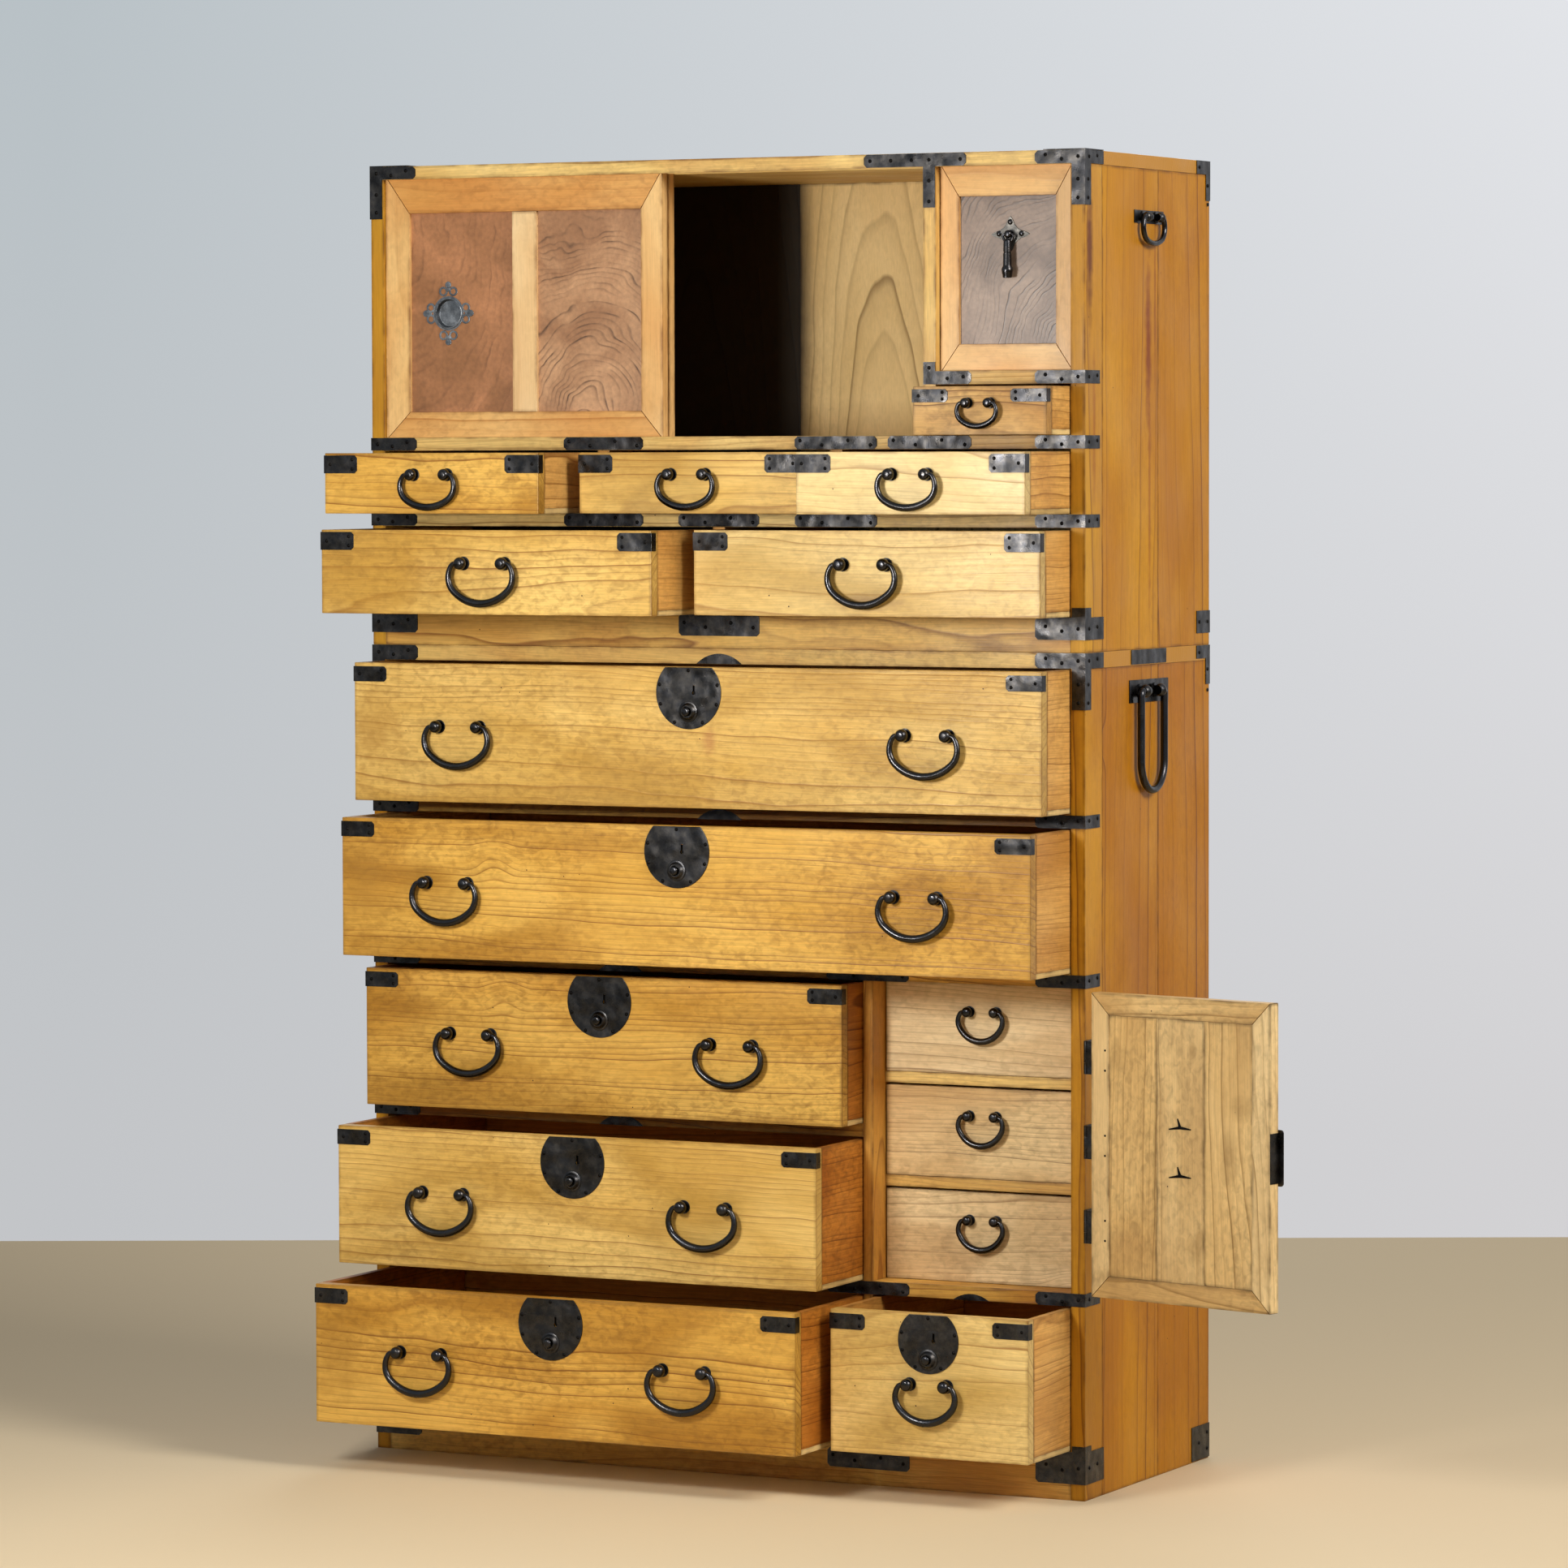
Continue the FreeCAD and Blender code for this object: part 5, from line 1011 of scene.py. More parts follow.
def ball_head(ball, stand_off):
    """One post: a washer on the wood, a stem, and a round head with a flat worn on its front."""
    washer = iron_disc(1.14 * ball, 0.0015, 24)
    edge_all(washer, 0.0005)
    washer.data.transform(Matrix.Translation((0, stand_off, 0)))
    stem = iron_disc(0.55 * ball, stand_off, 16)
    stem.data.transform(Matrix.Translation((0, stand_off, 0)))
    bpy.ops.object.select_all(action="DESELECT")
    bpy.ops.mesh.primitive_uv_sphere_add(segments=24, ring_count=14, radius=1.06 * ball,
                                         rotation=(math.pi / 2, 0, 0))
    head = bpy.context.object
    bpy.ops.object.transform_apply(location=True, rotation=True, scale=True)
    head.data.materials.append(polished_iron)
    pick(head, "VERT", lambda at: at.y < -0.85 * ball)
    bpy.ops.transform.resize(value=(1, 0.3, 1), center_override=(0, -0.85 * ball, 0))
    bpy.ops.object.mode_set(mode="OBJECT")
    return merged([head, washer, stem])


# Half the width, the drop below the pins, the bar's and the ball's radius, and the stand-off.
bail_sizes = {
    "large": (0.0485, 0.0530, 0.0043, 0.0080, 0.0110),
    "corner": (0.0425, 0.0480, 0.0043, 0.0080, 0.0110),
    "medium": (0.0410, 0.0430, 0.0040, 0.0076, 0.0105),
    "small": (0.0320, 0.0385, 0.0036, 0.0066, 0.0095),
    "tiny": (0.0278, 0.0300, 0.0032, 0.0064, 0.0088),
}
bail_shapes = {kind: (forged_bail(*size[:4]), ball_head(size[3], size[4]))
               for kind, size in bail_sizes.items()}


def fit_bail(drawer, node, kind, place, turned=Matrix.Identity(4)):
    """Hangs one bail on its body and its two posts on the drawer or door."""
    half, _, bar, ball, _ = bail_sizes[kind]
    shape, post = bail_shapes[kind]
    at = Matrix.Translation(place) @ turned
    joined(node + "_forged", [placed(shape, at)], node, "black_iron", node)
    offset = ball_spacing(half, bar, ball)[1]
    joined(node + "_posts", [placed(post, at @ Matrix.Translation((sign * offset, 0, 0)))
                             for sign in (-1, 1)], drawer, "black_iron")


def face_bails(drawer, x0, x1, face, top, kind, below, offset=0):
    """One bail in the middle of a front, or two at equal distances from the middle."""
    sides = (("left_", -offset), ("right_", offset)) if offset else (("", 0),)
    for side, along in sides:
        place = Vector(((x0 + x1) / 2 + along, face - bail_sizes[kind][4], top - below))
        fit_bail(drawer, f"{drawer}_{side}bail", kind, place)


for name, (x0, x1, floor, row, pulled, tone, height, drop) in upper_drawers.items():
    kind, below = {small_row: ("tiny", 0.0217), triple_row: ("medium", 0.029),
                   pair_row: ("large", 0.044)}[row]
    face_bails(name, x0, x1, front_y - pulled, floor + row - drawer_slack, kind, below)
for name, (x0, x1, floor, pulled, tone, lock) in lower_drawers.items():
    top = floor + lower_row - drawer_slack
    if name == "corner_drawer":
        face_bails(name, x0, x1, front_y - pulled, top, "corner", 0.0915)
    else:
        face_bails(name, x0, x1, front_y - pulled, top, "large", 0.0845,
                   0.346 if name.startswith("long") else 0.197)
for index, floor in enumerate(inner_floors[::-1]):
    face_bails(f"inner_drawer_{index + 1}", post_right, inside_x, inner_front,
               floor + inner_row - drawer_slack, "small", 0.0367)

# --- sliding doors ----------------------------------------------------------------
# Two framed doors, one behind the other. The frames are golden cedar mitred at the corners,
# and their thin panels are burl, each cut from another part of the root. A round pull of
# pewter-coloured iron with four pierced lobes is sunk in one panel of each door.


def burl(name, pale, deep, ring, ring_width, swirl, strength, squash):
    """Burl veneer: rings that wander round many small eyes, in clouds of brown and grey."""
    wood = bpy.data.materials.new(name)
    wood.use_nodes = True
    tree = wood.node_tree
    shader = tree.nodes["Principled BSDF"]
    grain = add_node(tree, "ShaderNodeAttribute", attribute_name="grain").outputs["Vector"]
    tone = add_node(tree, "ShaderNodeAttribute", attribute_name="tone").outputs["Fac"]
    wander = add_node(tree, "ShaderNodeTexNoise", {"Vector": grain, "Scale": swirl, "Detail": 3.0,
                                                   "Distortion": 0.8})
    centred = add_node(tree, "ShaderNodeVectorMath",
                       {0: wander.outputs["Color"], 1: (0.5, 0.5, 0.5)}, operation="SUBTRACT")
    push = add_node(tree, "ShaderNodeVectorMath", {0: centred.outputs[0], "Scale": 0.55 / swirl},
                    operation="SCALE")
    moved = add_node(tree, "ShaderNodeVectorMath", {0: grain, 1: push.outputs[0]}, operation="ADD")
    # The rings arch over a centre below the panel's middle.
    spread = add_node(tree, "ShaderNodeVectorMath", {0: moved.outputs[0], 1: (squash, 1, 1)},
                      operation="MULTIPLY")
    radius = add_node(tree, "ShaderNodeVectorMath", {0: spread.outputs[0]}, operation="LENGTH")
    count = add_node(tree, "ShaderNodeMath", {0: radius.outputs["Value"], 1: ring_width},
                     operation="DIVIDE")
    part = add_node(tree, "ShaderNodeMath", {0: count.outputs[0]}, operation="FRACT")
    year = add_node(tree, "ShaderNodeMath", {0: count.outputs[0]}, operation="FLOOR")
    season = add_node(tree, "ShaderNodeTexWhiteNoise", {"W": year.outputs[0]},
                      noise_dimensions="1D")
    line = add_node(tree, "ShaderNodeValToRGB", {"Fac": part.outputs[0]},
                    ramp=[(0.0, 0.0), (0.5, 0.1), (0.82, 1.0), (1.0, 0.0)])
    broken = add_node(tree, "ShaderNodeMapRange",
                      {"Value": add_node(tree, "ShaderNodeTexNoise",
                                         {"Vector": grain, "Scale": 26.0,
                                          "Detail": 4.0}).outputs["Fac"],
                       "From Min": 0.4, "From Max": 0.62, "To Min": 0.1, "To Max": 1.0})
    drawn = add_node(tree, "ShaderNodeMath", {0: line.outputs["Color"], 1: broken.outputs[0]},
                     operation="MULTIPLY")
    varied = add_node(tree, "ShaderNodeMath", {0: drawn.outputs[0], 1: season.outputs["Value"]},
                      operation="MULTIPLY")
    shown = add_node(tree, "ShaderNodeMath", {0: varied.outputs[0], 1: strength},
                     operation="MULTIPLY", use_clamp=True)
    cloud = add_node(tree, "ShaderNodeValToRGB",
                     {"Fac": add_node(tree, "ShaderNodeTexNoise",
                                      {"Vector": moved.outputs[0], "Scale": 11.0, "Detail": 5.0,
                                       "Distortion": 0.6}).outputs["Fac"]},
                     ramp=[(0.36, 0.0), (0.64, 1.0)])
    ground = add_node(tree, "ShaderNodeMix", {0: cloud.outputs["Color"], 6: linear(pale),
                                              7: linear(deep)}, data_type="RGBA")
    ringed = add_node(tree, "ShaderNodeMix", {0: shown.outputs[0], 6: ground.outputs[2],
                                              7: linear(ring)}, data_type="RGBA")
    mottle = add_node(tree, "ShaderNodeMapRange",
                      {"Value": add_node(tree, "ShaderNodeTexNoise",
                                         {"Vector": grain, "Scale": 160.0,
                                          "Detail": 3.0}).outputs["Fac"],
                       "From Min": 0.3, "From Max": 0.7, "To Min": 0.86, "To Max": 1.12})
    level = add_node(tree, "ShaderNodeMath", {0: mottle.outputs[0], 1: tone}, operation="MULTIPLY")
    toned = add_node(tree, "ShaderNodeVectorMath",
                     {0: ringed.outputs[2], "Scale": level.outputs[0]}, operation="SCALE")
    tree.links.new(toned.outputs[0], shader.inputs["Base Color"])
    shader.inputs["Roughness"].default_value = 0.38
    bump = add_node(tree, "ShaderNodeBump", {"Height": shown.outputs[0], "Strength": 0.25,
                                             "Distance": 0.0004})
    tree.links.new(bump.outputs[0], shader.inputs["Normal"])
    return wood


frame_cedar = softwood("door_frame_cedar", "#eabf7c", "#d8a25c", "#b07638", ring=0.0095, patch=0.4,
                       blush="#cc8c4c", grime="#7a4c20", roughness=0.36, spare=2.5, nap=0.05)
red_burl = burl("red_burl", "#c88a5c", "#a06c42", "#5a3418", ring_width=0.0105, swirl=9.0,
                strength=0.5, squash=0.6)
tan_burl = burl("tan_burl", "#c1946c", "#996d4a", "#4a2f1a", ring_width=0.0066, swirl=6.0,
                strength=1.25, squash=0.75)
grey_burl = burl("grey_burl", "#a58d7b", "#7c6657", "#42332a", ring_width=0.0060, swirl=6.0,
                 strength=1.25, squash=0.8)


def mitred_frame(x0, x1, z0, z1, front, thick, borders, tone=1.0, wood=None):
    """Four frame pieces whose ends are cut to meet along the corners' mitres. A piece's side is
    -1 or 1 for the left or right upright, and -2 or 2 for the bottom or top rail."""
    left, right_border, bottom, top = borders
    kerf = 0.0005
    pieces = []
    for side, low, high, along in (
            (-1, (x0, front, z0), (x0 + left, front + thick, z1), Z),
            (1, (x1 - right_border, front, z0), (x1, front + thick, z1), Z),
            (-2, (x0, front, z0), (x1, front + thick, z0 + bottom), X),
            (2, (x0, front, z1 - top), (x1, front + thick, z1), X)):
        # The uprights are a shade paler than the rails.
        shade = tone + (0.05 if along == Z else -0.05)
        piece = board(low, high, along, wood or frame_cedar, shade, 0.0006)
        for corner_x, width, end_x in ((x0, left, -1), (x1, right_border, 1)):
            for corner_z, height, end_z in ((z0, bottom, -1), (z1, top, 1)):
                if side not in (end_x, 2 * end_z):
                    continue
                # The mitre runs from the outer corner to the inner one.
                outer = Vector((corner_x, front, corner_z))
                inward = Vector((-end_x * width, 0, -end_z * height))
                cut = Vector((inward.z, 0, -inward.x)).normalized()
                away = Vector((end_x, 0, 0)) if abs(side) == 2 else Vector((0, 0, end_z))
                if cut.dot(away) < 0:
                    cut = -cut
                bpy.ops.object.select_all(action="DESELECT")
                piece.select_set(True)
                bpy.context.view_layer.objects.active = piece
                bpy.ops.object.mode_set(mode="EDIT")
                bpy.ops.mesh.select_all(action="SELECT")
                bpy.ops.mesh.bisect(plane_co=outer - cut * kerf, plane_no=cut, clear_outer=True,
                                    use_fill=True)
                bpy.ops.object.mode_set(mode="OBJECT")
        pieces.append(piece)
    return pieces


def burl_panel(x0, x1, z0, z1, front, wood, tone, heart, bore_x=None):
    """A thin burl panel. Its heart, the centre of its rings, is given in widths and heights."""
    panel = board((x0, front, z0), (x1, front + 0.007, z1), Z, wood, tone, 0.0002)
    if bore_x:
        seat = iron_disc(0.0213, 0.02, 40)
        seat.data.transform(Matrix.Translation((bore_x, front + 0.015, pull_z)))
        carve(panel, seat)
    grain, shade = panel.data.attributes["grain"].data, panel.data.attributes["tone"].data
    for index, vertex in enumerate(panel.data.vertices):
        point = vertex.co
        shade[index].value = tone
        grain[index].vector = Vector((point.z - z0 - heart[1] * (z1 - z0),
                                      point.x - x0 - heart[0] * (x1 - x0), point.y - front))
    return panel


def iron_ring(outer, hole, thick, sides=24):
    """A flat iron ring: a disc whose two faces are inset and bridged through."""
    ring = iron_disc(outer, thick, sides)
    pick(ring, "FACE", lambda at: abs(at.x) + abs(at.z) < 0.0001)
    bpy.ops.mesh.inset(thickness=outer - hole)
    bpy.ops.mesh.bridge_edge_loops()
    bpy.ops.object.mode_set(mode="OBJECT")
    edge_all(ring, 0.00025)
    ring.data.materials[0] = pewter_iron
    return ring


def sunk_pull(x, z, panel_front):
    """A spun cup with a rolled rim, and round it four pierced scrolls that end in a small leaf."""
    pieces = [iron_ring(0.0235, 0.0190, 0.0008, 48)]
    for turned, reach, tip in ((0, 0.0270, 0.0345), (90, 0.0296, 0.0385), (180, 0.0270, 0.0345),
                               (270, 0.0296, 0.0385)):
        way = Vector((math.cos(math.radians(turned)), 0, math.sin(math.radians(turned))))
        side = Vector((-way.z, 0, way.x))
        for sign in (-1, 1):
            scroll = iron_ring(0.0066, 0.0038, 0.0011)
            scroll.data.transform(Matrix.Translation(reach * way + sign * 0.0076 * side))
            pieces.append(scroll)
        for place, radius in ((tip, 0.0046), (tip - 0.006, 0.0030)):
            leaf = iron_disc(radius, 0.0014, 16)
            leaf.data.materials[0] = pewter_iron
            edge_all(leaf, 0.0004)
            leaf.data.transform(Matrix.Translation(place * way))
            pieces.append(leaf)
    cup = iron_disc(0.0213, 0.0018, 56)
    cup.data.materials[0] = pewter_iron
    pick(cup, "EDGE", lambda at: at.y < -0.0017)
    bpy.ops.mesh.bevel(offset=0.0008, segments=3, affect="EDGES")
    bpy.ops.object.mode_set(mode="OBJECT")
    pick(cup, "FACE", lambda at: at.y < -0.00179)
    bpy.ops.mesh.inset(thickness=0.0010)
    bpy.ops.mesh.extrude_region_move(TRANSFORM_OT_translate={"value": (0, 0.0076, 0)})
    bpy.ops.transform.resize(value=(0.90, 1, 0.90), center_override=(0, 0, 0))
    bpy.ops.mesh.inset(thickness=0.0022)
    bpy.ops.mesh.extrude_region_move(TRANSFORM_OT_translate={"value": (0, 0.0006, 0)})
    bpy.ops.mesh.inset(thickness=0.0015)
    bpy.ops.mesh.extrude_region_move(TRANSFORM_OT_translate={"value": (0, -0.0005, 0)})
    bpy.ops.object.mode_set(mode="OBJECT")
    pick(cup, "FACE", lambda at: abs(at.y) < 0.00001 and abs(at.x) + abs(at.z) < 0.0001)
    bpy.ops.mesh.extrude_region_move(TRANSFORM_OT_translate={"value": (0, 0.0070, 0)})
    bpy.ops.object.mode_set(mode="OBJECT")
    pieces.append(cup)
    for piece in pieces:
        piece.data.transform(Matrix.Translation((x, panel_front, z)))
    return pieces


pewter_iron = iron_finish("pewter_washed_iron", "#64676b", "#8d9094", 0.34)
sliding_left = -inside_x + 0.0005
sliding_right = sliding_left + 0.4235
sliding_bottom = 1.3803
sliding_top = 1.737
sliding_borders = (0.037, 0.032, 0.037, 0.051)
door_thick = 0.016
panel_back = 0.005
pull_z = 1.5505
left, right_border, bottom, top = sliding_borders
low_z, high_z = sliding_bottom + bottom, sliding_top - top
x_low, x_high = sliding_left + left, sliding_right - right_border
centre = (x_low + x_high) / 2
stile_x0, stile_x1 = centre - 0.0185, centre + 0.0185
for name, front, pull_x, first, second in (
        ("sliding_door_front", -0.2017, -0.415, red_burl, tan_burl),
        ("sliding_door_back", -0.1821, -0.1805, tan_burl, red_burl)):
    pieces = mitred_frame(sliding_left, sliding_right, sliding_bottom, sliding_top, front,
                          door_thick, sliding_borders)
    pieces.append(board((stile_x0, front, low_z), (stile_x1, front + door_thick, high_z), Z,
                        frame_cedar, 1.2, 0.0006))
    for p0, p1, wood, tone in ((x_low, stile_x0, first, 0.80), (stile_x1, x_high, second, 1.0)):
        pieces.append(burl_panel(p0, p1, low_z, high_z, front + panel_back, wood, tone,
                                 (-0.1, 0.9) if wood is red_burl else (0.5, -0.12),
                                 pull_x if p0 < pull_x < p1 else None))
    joined(name + "_wood", pieces, name, "door_wood", name)
    joined(name + "_pull", sunk_pull(pull_x, pull_z, front + panel_back), name, "black_iron")

# --- lift-out door ----------------------------------------------------------------
# A small framed door that lifts up into its deep top groove and comes away. Its drop pull
# hangs from an eye on a pointed four-leaved plate held by three nails.
lift_x0, lift_x1, lift_z0, lift_z1 = 0.319, 0.509, 1.4643, 1.736
lift_front = -0.194
lift_borders = (0.027, 0.025, 0.037, 0.043)
pieces = mitred_frame(lift_x0, lift_x1, lift_z0, lift_z1, lift_front, door_thick, lift_borders,
                      1.06)
left, right_border, bottom, top = lift_borders
pieces.append(burl_panel(lift_x0 + left, lift_x1 - right_border, lift_z0 + bottom, lift_z1 - top,
                         lift_front + panel_back, grey_burl, 0.86, (1.15, -0.15)))
joined("lift_out_door_wood", pieces, "lift_out_door", "door_wood", "lift_out_door")

drop_x, drop_z = 0.4176, 1.643
drop_face = lift_front + panel_back
pin_out = 0.008
leaf_thick = 0.0012


def leaf_plate():
    """The pull's thin plate: four pointed leaves, filed out of a square of sheet iron."""
    leaf_wide, leaf_tall = 0.0275, 0.0235
    bpy.ops.object.select_all(action="DESELECT")
    bpy.ops.mesh.primitive_circle_add(vertices=48, radius=1, fill_type="NGON",
                                      rotation=(math.pi / 2, 0, 0))
    plate = bpy.context.object
    bpy.ops.object.transform_apply(location=True, rotation=True, scale=True)
    for vertex in plate.data.vertices:
        turned = math.atan2(vertex.co.z, vertex.co.x)
        off_tip = abs((turned / (math.pi / 2)) % 1 - 0.5) * 2
        reach = 0.50 + 0.16 * off_tip + 0.34 * max(0, off_tip - 0.55) / 0.45
        vertex.co = Vector((leaf_wide * reach * math.cos(turned), 0,
                            leaf_tall * reach * math.sin(turned)))
    bpy.ops.object.mode_set(mode="EDIT")
    bpy.ops.mesh.select_all(action="SELECT")
    bpy.ops.mesh.extrude_region_move(TRANSFORM_OT_translate={"value": (0, -leaf_thick, 0)})
    bpy.ops.mesh.select_all(action="SELECT")
    bpy.ops.mesh.normals_make_consistent(inside=False)
    bpy.ops.object.mode_set(mode="OBJECT")
    edge_all(plate, 0.0002)
    plate.data.materials.append(tinned_iron)
    return plate


tinned_iron = iron_finish("worn_tinned_iron", "#4c4a47", "#726e68", 0.42)
eye = ball_head(0.005, 0.0068)
eye.data.transform(Matrix.Translation((0, -pin_out, 0)))
stud = nail_head(0.0040)
stud.data.materials[0] = polished_iron
fixed = [leaf_plate(), eye] + [placed(stud, (dx, -leaf_thick, dz)) for dx, dz in
                               ((-0.0160, 0.001), (0.0160, 0.001), (0, 0.0160))]
bpy.data.objects.remove(stud)
for piece in fixed:
    piece.data.transform(Matrix.Translation((drop_x, drop_face, drop_z)))
joined("lift_out_door_eye", fixed, "lift_out_door", "black_iron")


def turned_drop(profile):
    """The drop: a rod drawn down from a ring, with a groove half way and a flared round foot."""
    height, width = profile[0]
    bpy.ops.object.select_all(action="DESELECT")
    bpy.ops.mesh.primitive_circle_add(vertices=24, radius=width, fill_type="NGON",
                                      location=(0, 0, -height))
    rod = bpy.context.object
    bpy.ops.object.transform_apply(location=True, rotation=True, scale=True)
    bpy.ops.object.mode_set(mode="EDIT")
    bpy.ops.mesh.select_all(action="SELECT")
    for low, wide in profile[1:]:
        bpy.ops.mesh.extrude_region_move(TRANSFORM_OT_translate={"value": (0, 0, height - low)})
        bpy.ops.transform.resize(value=(wide / width, wide / width, 1),
                                 center_override=(0, 0, -low))
        height, width = low, wide
    bpy.ops.mesh.select_all(action="SELECT")
    bpy.ops.mesh.normals_make_consistent(inside=False)
    bpy.ops.object.mode_set(mode="OBJECT")
    rod.data.materials.append(polished_iron)
    return rod


# Distance below the pin and radius, from the ring down to the foot.
stem = turned_drop([(0.0060, 0.0020), (0.0075, 0.0040), (0.0100, 0.0050), (0.0225, 0.0053),
                    (0.0230, 0.0046), (0.0238, 0.0046), (0.0243, 0.0054), (0.0400, 0.0056),
                    (0.0410, 0.0059), (0.0445, 0.0073), (0.0465, 0.0075), (0.0490, 0.0072),
                    (0.0530, 0.0063), (0.0560, 0.0059), (0.0566, 0.0050)])
bpy.ops.object.select_all(action="DESELECT")
ring_drop = 0.0035
bpy.ops.mesh.primitive_torus_add(major_segments=28, minor_segments=12, major_radius=0.0068,
                                 minor_radius=0.0017, location=(0, 0, -ring_drop),
                                 rotation=(math.pi / 2, 0, 0))
loop = bpy.context.object
bpy.ops.object.transform_apply(location=True, rotation=True, scale=True)
pick(loop, "VERT", lambda at: at.z > -ring_drop)
bpy.ops.transform.resize(value=(1.1, 1, 0.75), center_override=(0, 0, -ring_drop))
bpy.ops.object.mode_set(mode="OBJECT")
loop.data.materials.append(polished_iron)
# The stem is drawn out a little forward of its ring, so that its foot clears the panel.
stem.data.transform(Matrix.Translation((0, -0.0026, 0)))
for piece in (stem, loop):
    piece.data.transform(Matrix.Translation((drop_x, drop_face - pin_out, drop_z)))
joined("lift_out_door_drop", [stem, loop], "lift_out_door_pull", "black_iron", "lift_out_door_pull")

# --- hinged door ------------------------------------------------------------------
# Three upright boards in a mitred frame, hung on three strap hinges at the case's right edge,
# with a bail and a lock plate on its outer face. It stands 167 degrees open, so that its paler
# inner face shows.
iron_thick = 0.0012
board_recess = 0.0012
door_turn = math.radians(167)
pivot = Vector((0.533, -0.209, 0))
swing = (Matrix.Translation(pivot) @ Matrix.Rotation(door_turn, 4, "Z")
         @ Matrix.Translation(-pivot))
door_x0, door_x1, door_z0, door_z1 = 0.2275, 0.509, 0.272, 0.666
door_front, door_back = -0.2063, -0.1883
clamp = 0.028
door_cedar = softwood("door_back_cedar", "#e9c88c", "#d5b072", "#94703c", ring=0.0080, patch=0.6,
                      blush="#b8925c", grime="#5c4526", roughness=0.5, spare=1.6, nap=0.08)
# Years of hands and damp have marked the inner face.
for x, z, half_x, half_z, strength in (
        (0.292, 0.470, 0.016, 0.045, 0.5), (0.270, 0.530, 0.022, 0.020, 0.35),
        (0.345, 0.345, 0.020, 0.026, 0.35), (0.470, 0.585, 0.012, 0.030, 0.35),
        (0.350, 0.600, 0.010, 0.016, 0.4), (0.480, 0.300, 0.030, 0.012, 0.4)):
    streak(door_cedar, swing @ Vector((x, door_back, z)), (half_x, 0, half_z), "#8c6c3c", strength)
pieces = mitred_frame(door_x0, door_x1, door_z0, door_z1, door_front, door_back - door_front,
                      (clamp, clamp, clamp, clamp), 1.02, door_cedar)
wide = (door_x1 - door_x0 - 2 * clamp) / 3
for index, tone in enumerate((0.98, 1.04, 0.95)):
    pieces.append(board((door_x0 + clamp + index * wide, door_front, door_z0 + clamp),
                        (door_x0 + clamp + (index + 1) * wide, door_back - board_recess,
                         door_z1 - clamp), Z, door_cedar, tone, 0.0008))
for piece in pieces:
    piece.data.transform(swing)
joined("hinged_door_wood", pieces, "hinged_door", "door_wood", "hinged_door")

middle_z = (door_z0 + door_z1) / 2
sheet_front = door_front - iron_thick
lock = iron_block((door_x0 - 0.008, sheet_front, middle_z - 0.036),
                  (door_x0 + 0.042, door_front, middle_z + 0.036))
pick(lock, "EDGE", lambda at: abs(at.y - door_front + iron_thick / 2) < 0.0002)
bpy.ops.mesh.bevel(offset=0.004, segments=3, affect="EDGES")
bpy.ops.object.mode_set(mode="OBJECT")
edge_all(lock, 0.0003)
wrap = iron_block((door_x0 - iron_thick, door_front, middle_z - 0.032),
                  (door_x0, door_back, middle_z + 0.032))
irons = [lock, wrap]
for dx, dz in ((-0.004, 0.031), (-0.004, -0.031), (0.038, 0.031), (0.038, -0.031), (0.017, 0.031),
               (0.017, -0.031)):
    irons.append(placed(plate_nail, (door_x0 + dx, sheet_front, middle_z + dz)))
hinge_zs = [middle_z + step * 0.110 for step in (-1, 0, 1)]
hinge_tall = 0.043
knuckle = hinge_tall / 3
for z in hinge_zs:
    leaf = iron_block((pivot.x - 0.060, sheet_front, z - hinge_tall / 2),
                      (side_x - 0.0003, door_front, z + hinge_tall / 2))
    pick(leaf, "EDGE", lambda at: at.x < pivot.x - 0.059
         and abs(at.y - door_front + iron_thick / 2) < 0.0002)
    bpy.ops.mesh.bevel(offset=0.006, segments=4, affect="EDGES")
    bpy.ops.object.mode_set(mode="OBJECT")
    edge_all(leaf, 0.00025)
    web = iron_block((side_x - 0.001, sheet_front, z - knuckle / 2 + 0.0003),
                     (pivot.x - 0.0015, door_front, z + knuckle / 2 - 0.0003))
    bpy.ops.mesh.primitive_cylinder_add(vertices=20, radius=0.003, depth=knuckle - 0.0006,
                                        location=(pivot.x, pivot.y, z))
    barrel = bpy.context.object
    bpy.ops.object.transform_apply(location=True, rotation=True, scale=True)
    barrel.data.materials.append(baked_iron)
    edge_all(barrel, 0.0004)
    irons += [leaf, web, barrel]
    for dx, dz in ((0.050, 0.014), (0.050, -0.014), (0.030, 0.0), (0.012, 0.014), (0.012, -0.014)):
        irons.append(placed(plate_nail, (pivot.x - dx, sheet_front, z + dz)))
for piece in irons:
    piece.data.transform(swing)
joined("hinged_door_irons", irons, "hinged_door", "black_iron")
fit_bail("hinged_door", "hinged_door_bail", "medium",
         swing @ Vector(((door_x0 + door_x1) / 2, door_front - 0.0105, middle_z)),
         Matrix.Rotation(door_turn, 4, "Z") @ Matrix.Rotation(-math.pi / 2, 4, "Y"))
for shape, post in bail_shapes.values():
    bpy.data.objects.remove(shape)
    bpy.data.objects.remove(post)
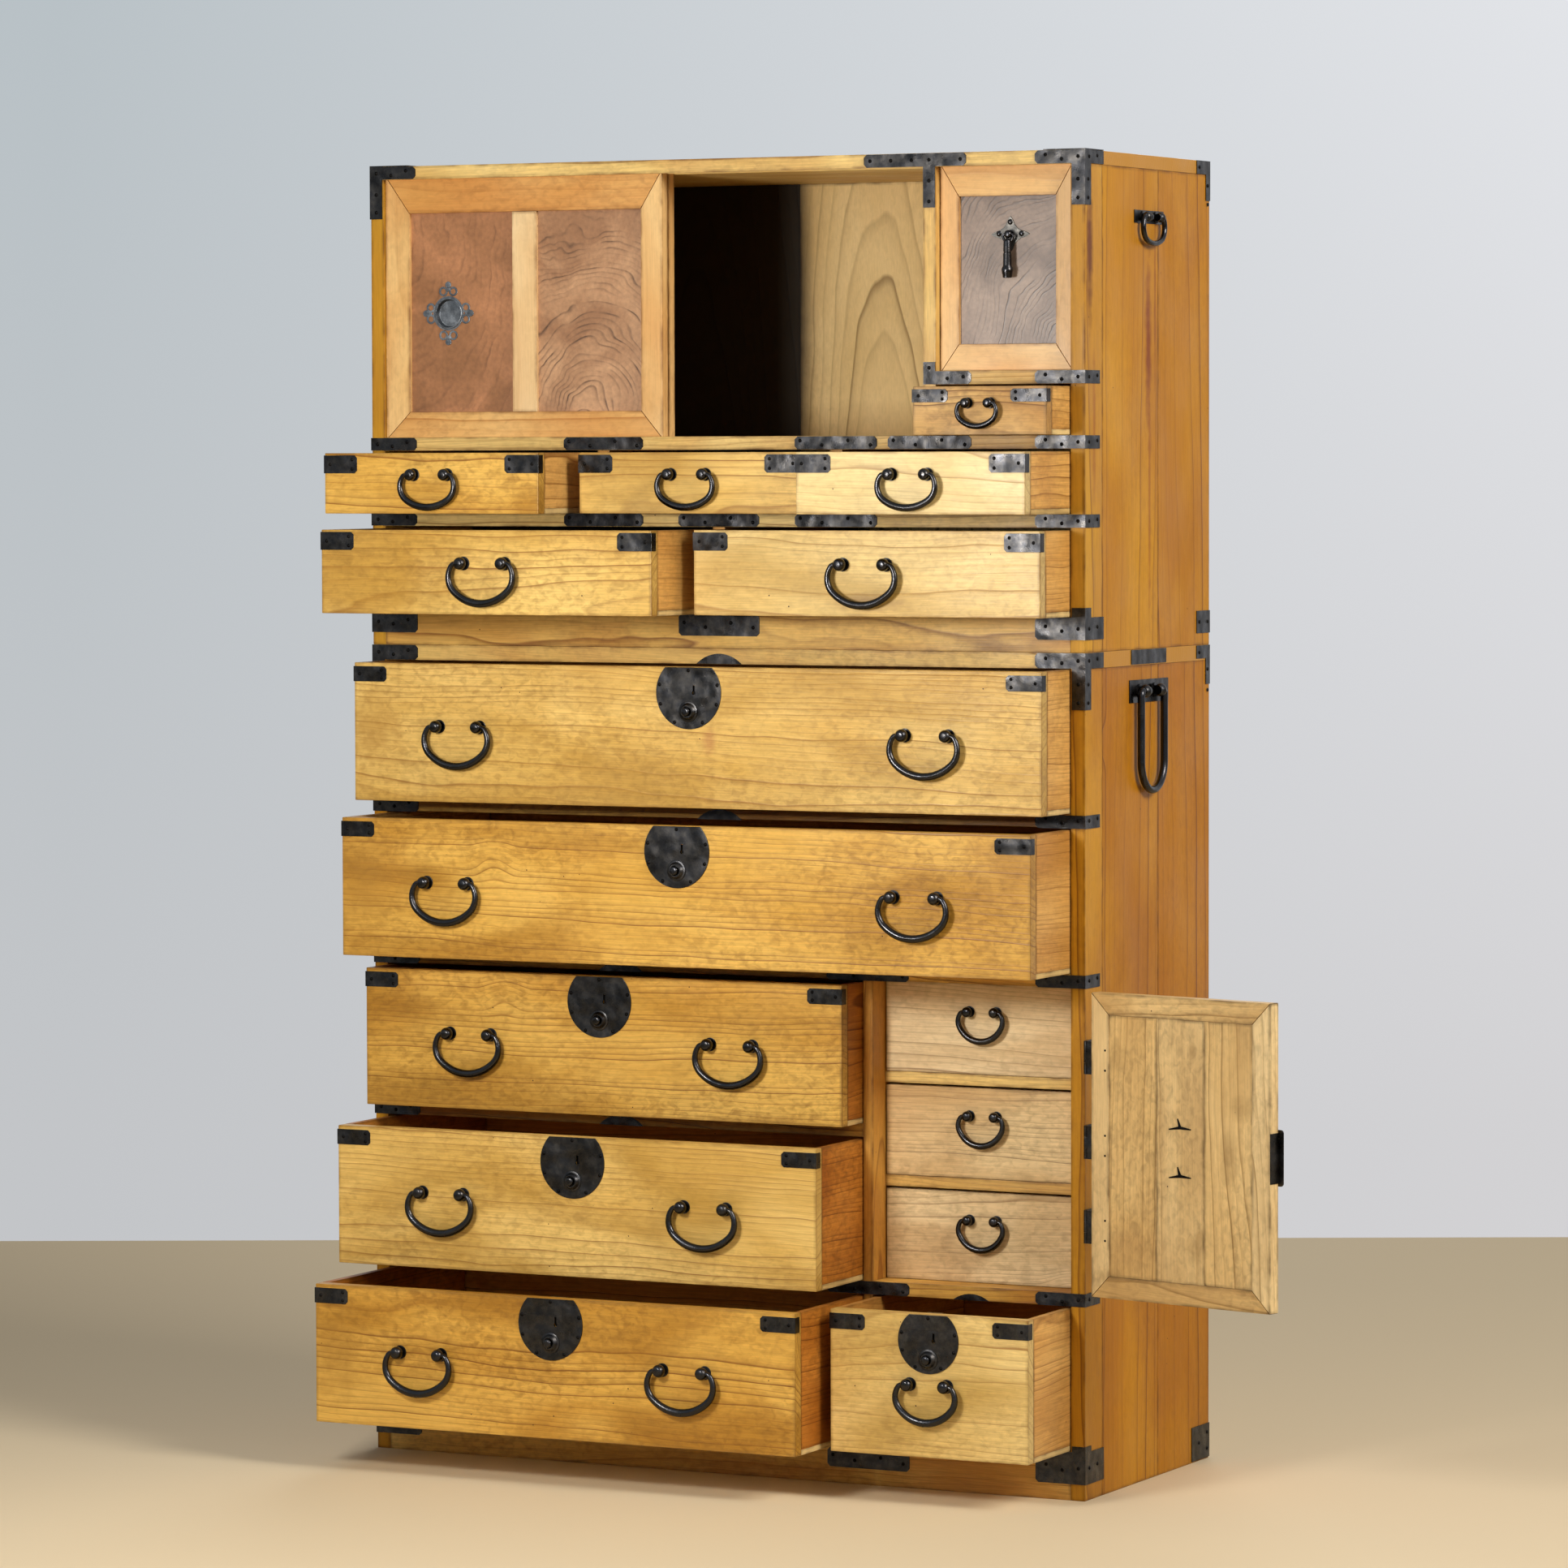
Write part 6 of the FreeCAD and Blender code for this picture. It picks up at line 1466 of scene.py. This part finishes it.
# The pins of the bail's posts come through the boards and are split, spread and clinched.
clinches = []
for dz in (0.031, -0.031):
    for degrees, reach in ((10, 0.018), (174, 0.017), (-70, 0.012)):
        leg = iron_block((0.0, 0.0, -0.0020), (reach, 0.0016, 0.0020))
        leg.data.materials[0] = nail_iron
        pick(leg, "FACE", lambda at: at.x > reach - 0.0001)
        bpy.ops.transform.resize(value=(1, 0.5, 0.35), center_override=(reach, 0, 0))
        bpy.ops.object.mode_set(mode="OBJECT")
        leg.data.transform(Matrix.Rotation(math.radians(degrees), 4, "Y"))
        leg.data.transform(Matrix.Translation(((door_x0 + door_x1) / 2, door_back - board_recess,
                                               middle_z + dz)))
        clinches.append(leg)
for z in hinge_zs:
    for dz in (-0.013, 0.013):
        point = placed(plate_nail, Matrix.Translation((door_x1 - 0.022, door_back, z + dz))
                       @ Matrix.Rotation(math.pi, 4, "Z") @ Matrix.Scale(0.6, 4))
        clinches.append(point)
for piece in clinches:
    piece.data.transform(swing)
joined("hinged_door_clinches", clinches, "hinged_door", "black_iron")

# --- case ironwork ----------------------------------------------------------------
# Corner irons, straps over every rail end, hinge leaves, lock keepers and side plates are
# cut from the same sheet iron as the drawers' straps, and nailed through.
ironwork = bpy.data.objects["case_ironwork"]
ironwork.data.materials.clear()
ironwork.data.materials.append(baked_iron)
base_low = pair_floor - 0.030
lower_middle = (post_left + post_right) / 2
nails = []


def nail_front(*places):
    """Nails through a plate on the front, at some places (x, z)."""
    for x, z in places:
        nails.append(placed(plate_nail, (x, front_y - iron_thick, z)))


def nail_sides(*places):
    """Nails through the plates on both sides of the case, at some places (y, z)."""
    for sign in (-1, 1):
        for y, z in places:
            nails.append(placed(plate_nail, Matrix.Translation((sign * (side_x + iron_thick), y, z))
                                @ Matrix.Rotation(sign * math.pi / 2, 4, "Z")))


ends = [(z - rail_thick, z, signs) for z, signs in (
    (cupboard_floor, (-1, 1)), (triple_floor, (-1, 1)), (lower_floors[4], (-1, 1)),
    (lower_floors[3], (-1, 1)), (lower_floors[1], (-1, 1)), (lift_out_floor, (1,)),
    (lower_floors[2], (-1,)))]
ends += [(cupboard_top, top_z, (-1, 1)), (base_low, pair_floor, (-1, 1)),
         (lower_top, seam_z, (-1, 1)), (0.021, base_top, (-1, 1))]
for z0, z1, signs in ends:
    for sign in signs:
        nail_front(*[(sign * (side_x - inset), (z0 + z1) / 2 + lift)
                     for inset, lift in ((0.009, 0), (0.032, -0.003), (0.055, 0.003))])
    nail_sides((front_y + 0.012, (z0 + z1) / 2), (front_y + 0.038, (z0 + z1) / 2 + 0.002))
for z in (cupboard_top - 0.020, cupboard_top - 0.044, lower_top - 0.020, lower_top - 0.044):
    nail_front((side_x - 0.009, z), (0.009 - side_x, z))
    nail_sides((front_y + 0.009, z))
divider_x = (triple_width + divider) / 2
lift_post_x = (cupboard_right + bay_left) / 2
base_middle = base_low + 0.015
straps = [(x, cupboard_floor - rail_thick / 2) for x in (-divider_x, divider_x, lift_post_x)]
straps += [(x, triple_floor - rail_thick / 2) for x in (-divider_x, 0, divider_x)]
straps += [(0, base_middle), (lower_middle, lower_floors[3] - rail_thick / 2),
           (lower_middle, lower_floors[1] - rail_thick / 2), (lower_middle, 0.0345)]
for x, z in straps:
    nail_front(*[(x + step, z + lift) for step, lift in ((-0.052, 0.003), (-0.020, -0.003),
                                                         (0.018, 0.003), (0.051, -0.003))])
nail_front(*[(lift_post_x + step, (cupboard_top + top_z) / 2)
             for step in (-0.085, -0.055, -0.025, 0.0, 0.045)])
nail_front((lift_post_x, cupboard_top - 0.018), (lift_post_x, cupboard_top - 0.045),
           (lift_post_x, lift_out_floor + 0.004), (0.335, lift_out_floor - 0.010),
           (0.358, lift_out_floor - 0.008))
nail_sides(*[(back_y - 0.008, z)
             for z in (cupboard_top - 0.040, cupboard_top - 0.015, 0.014, 0.036,
                       lower_top - 0.040, lower_top - 0.012, base_middle)])
nail_sides(*[(back_y - 0.036, z) for z in (top_z - 0.009, base_middle, seam_z - 0.010, 0.025)])
joined("case_nails", nails, "case", "black_iron")

# --- carrying handles -------------------------------------------------------------
# A ring on each side of the upper case and a long bail on each side of the lower one, for
# lifting the two cases apart or for a pole. Their CAD shapes are right and only get a finish.
for node in ("upper_left_ring", "upper_right_ring", "lower_left_bail", "lower_right_bail"):
    bpy.data.objects[node].data.materials.clear()
    bpy.data.objects[node].data.materials.append(polished_iron)
bpy.data.objects.remove(plate_nail)
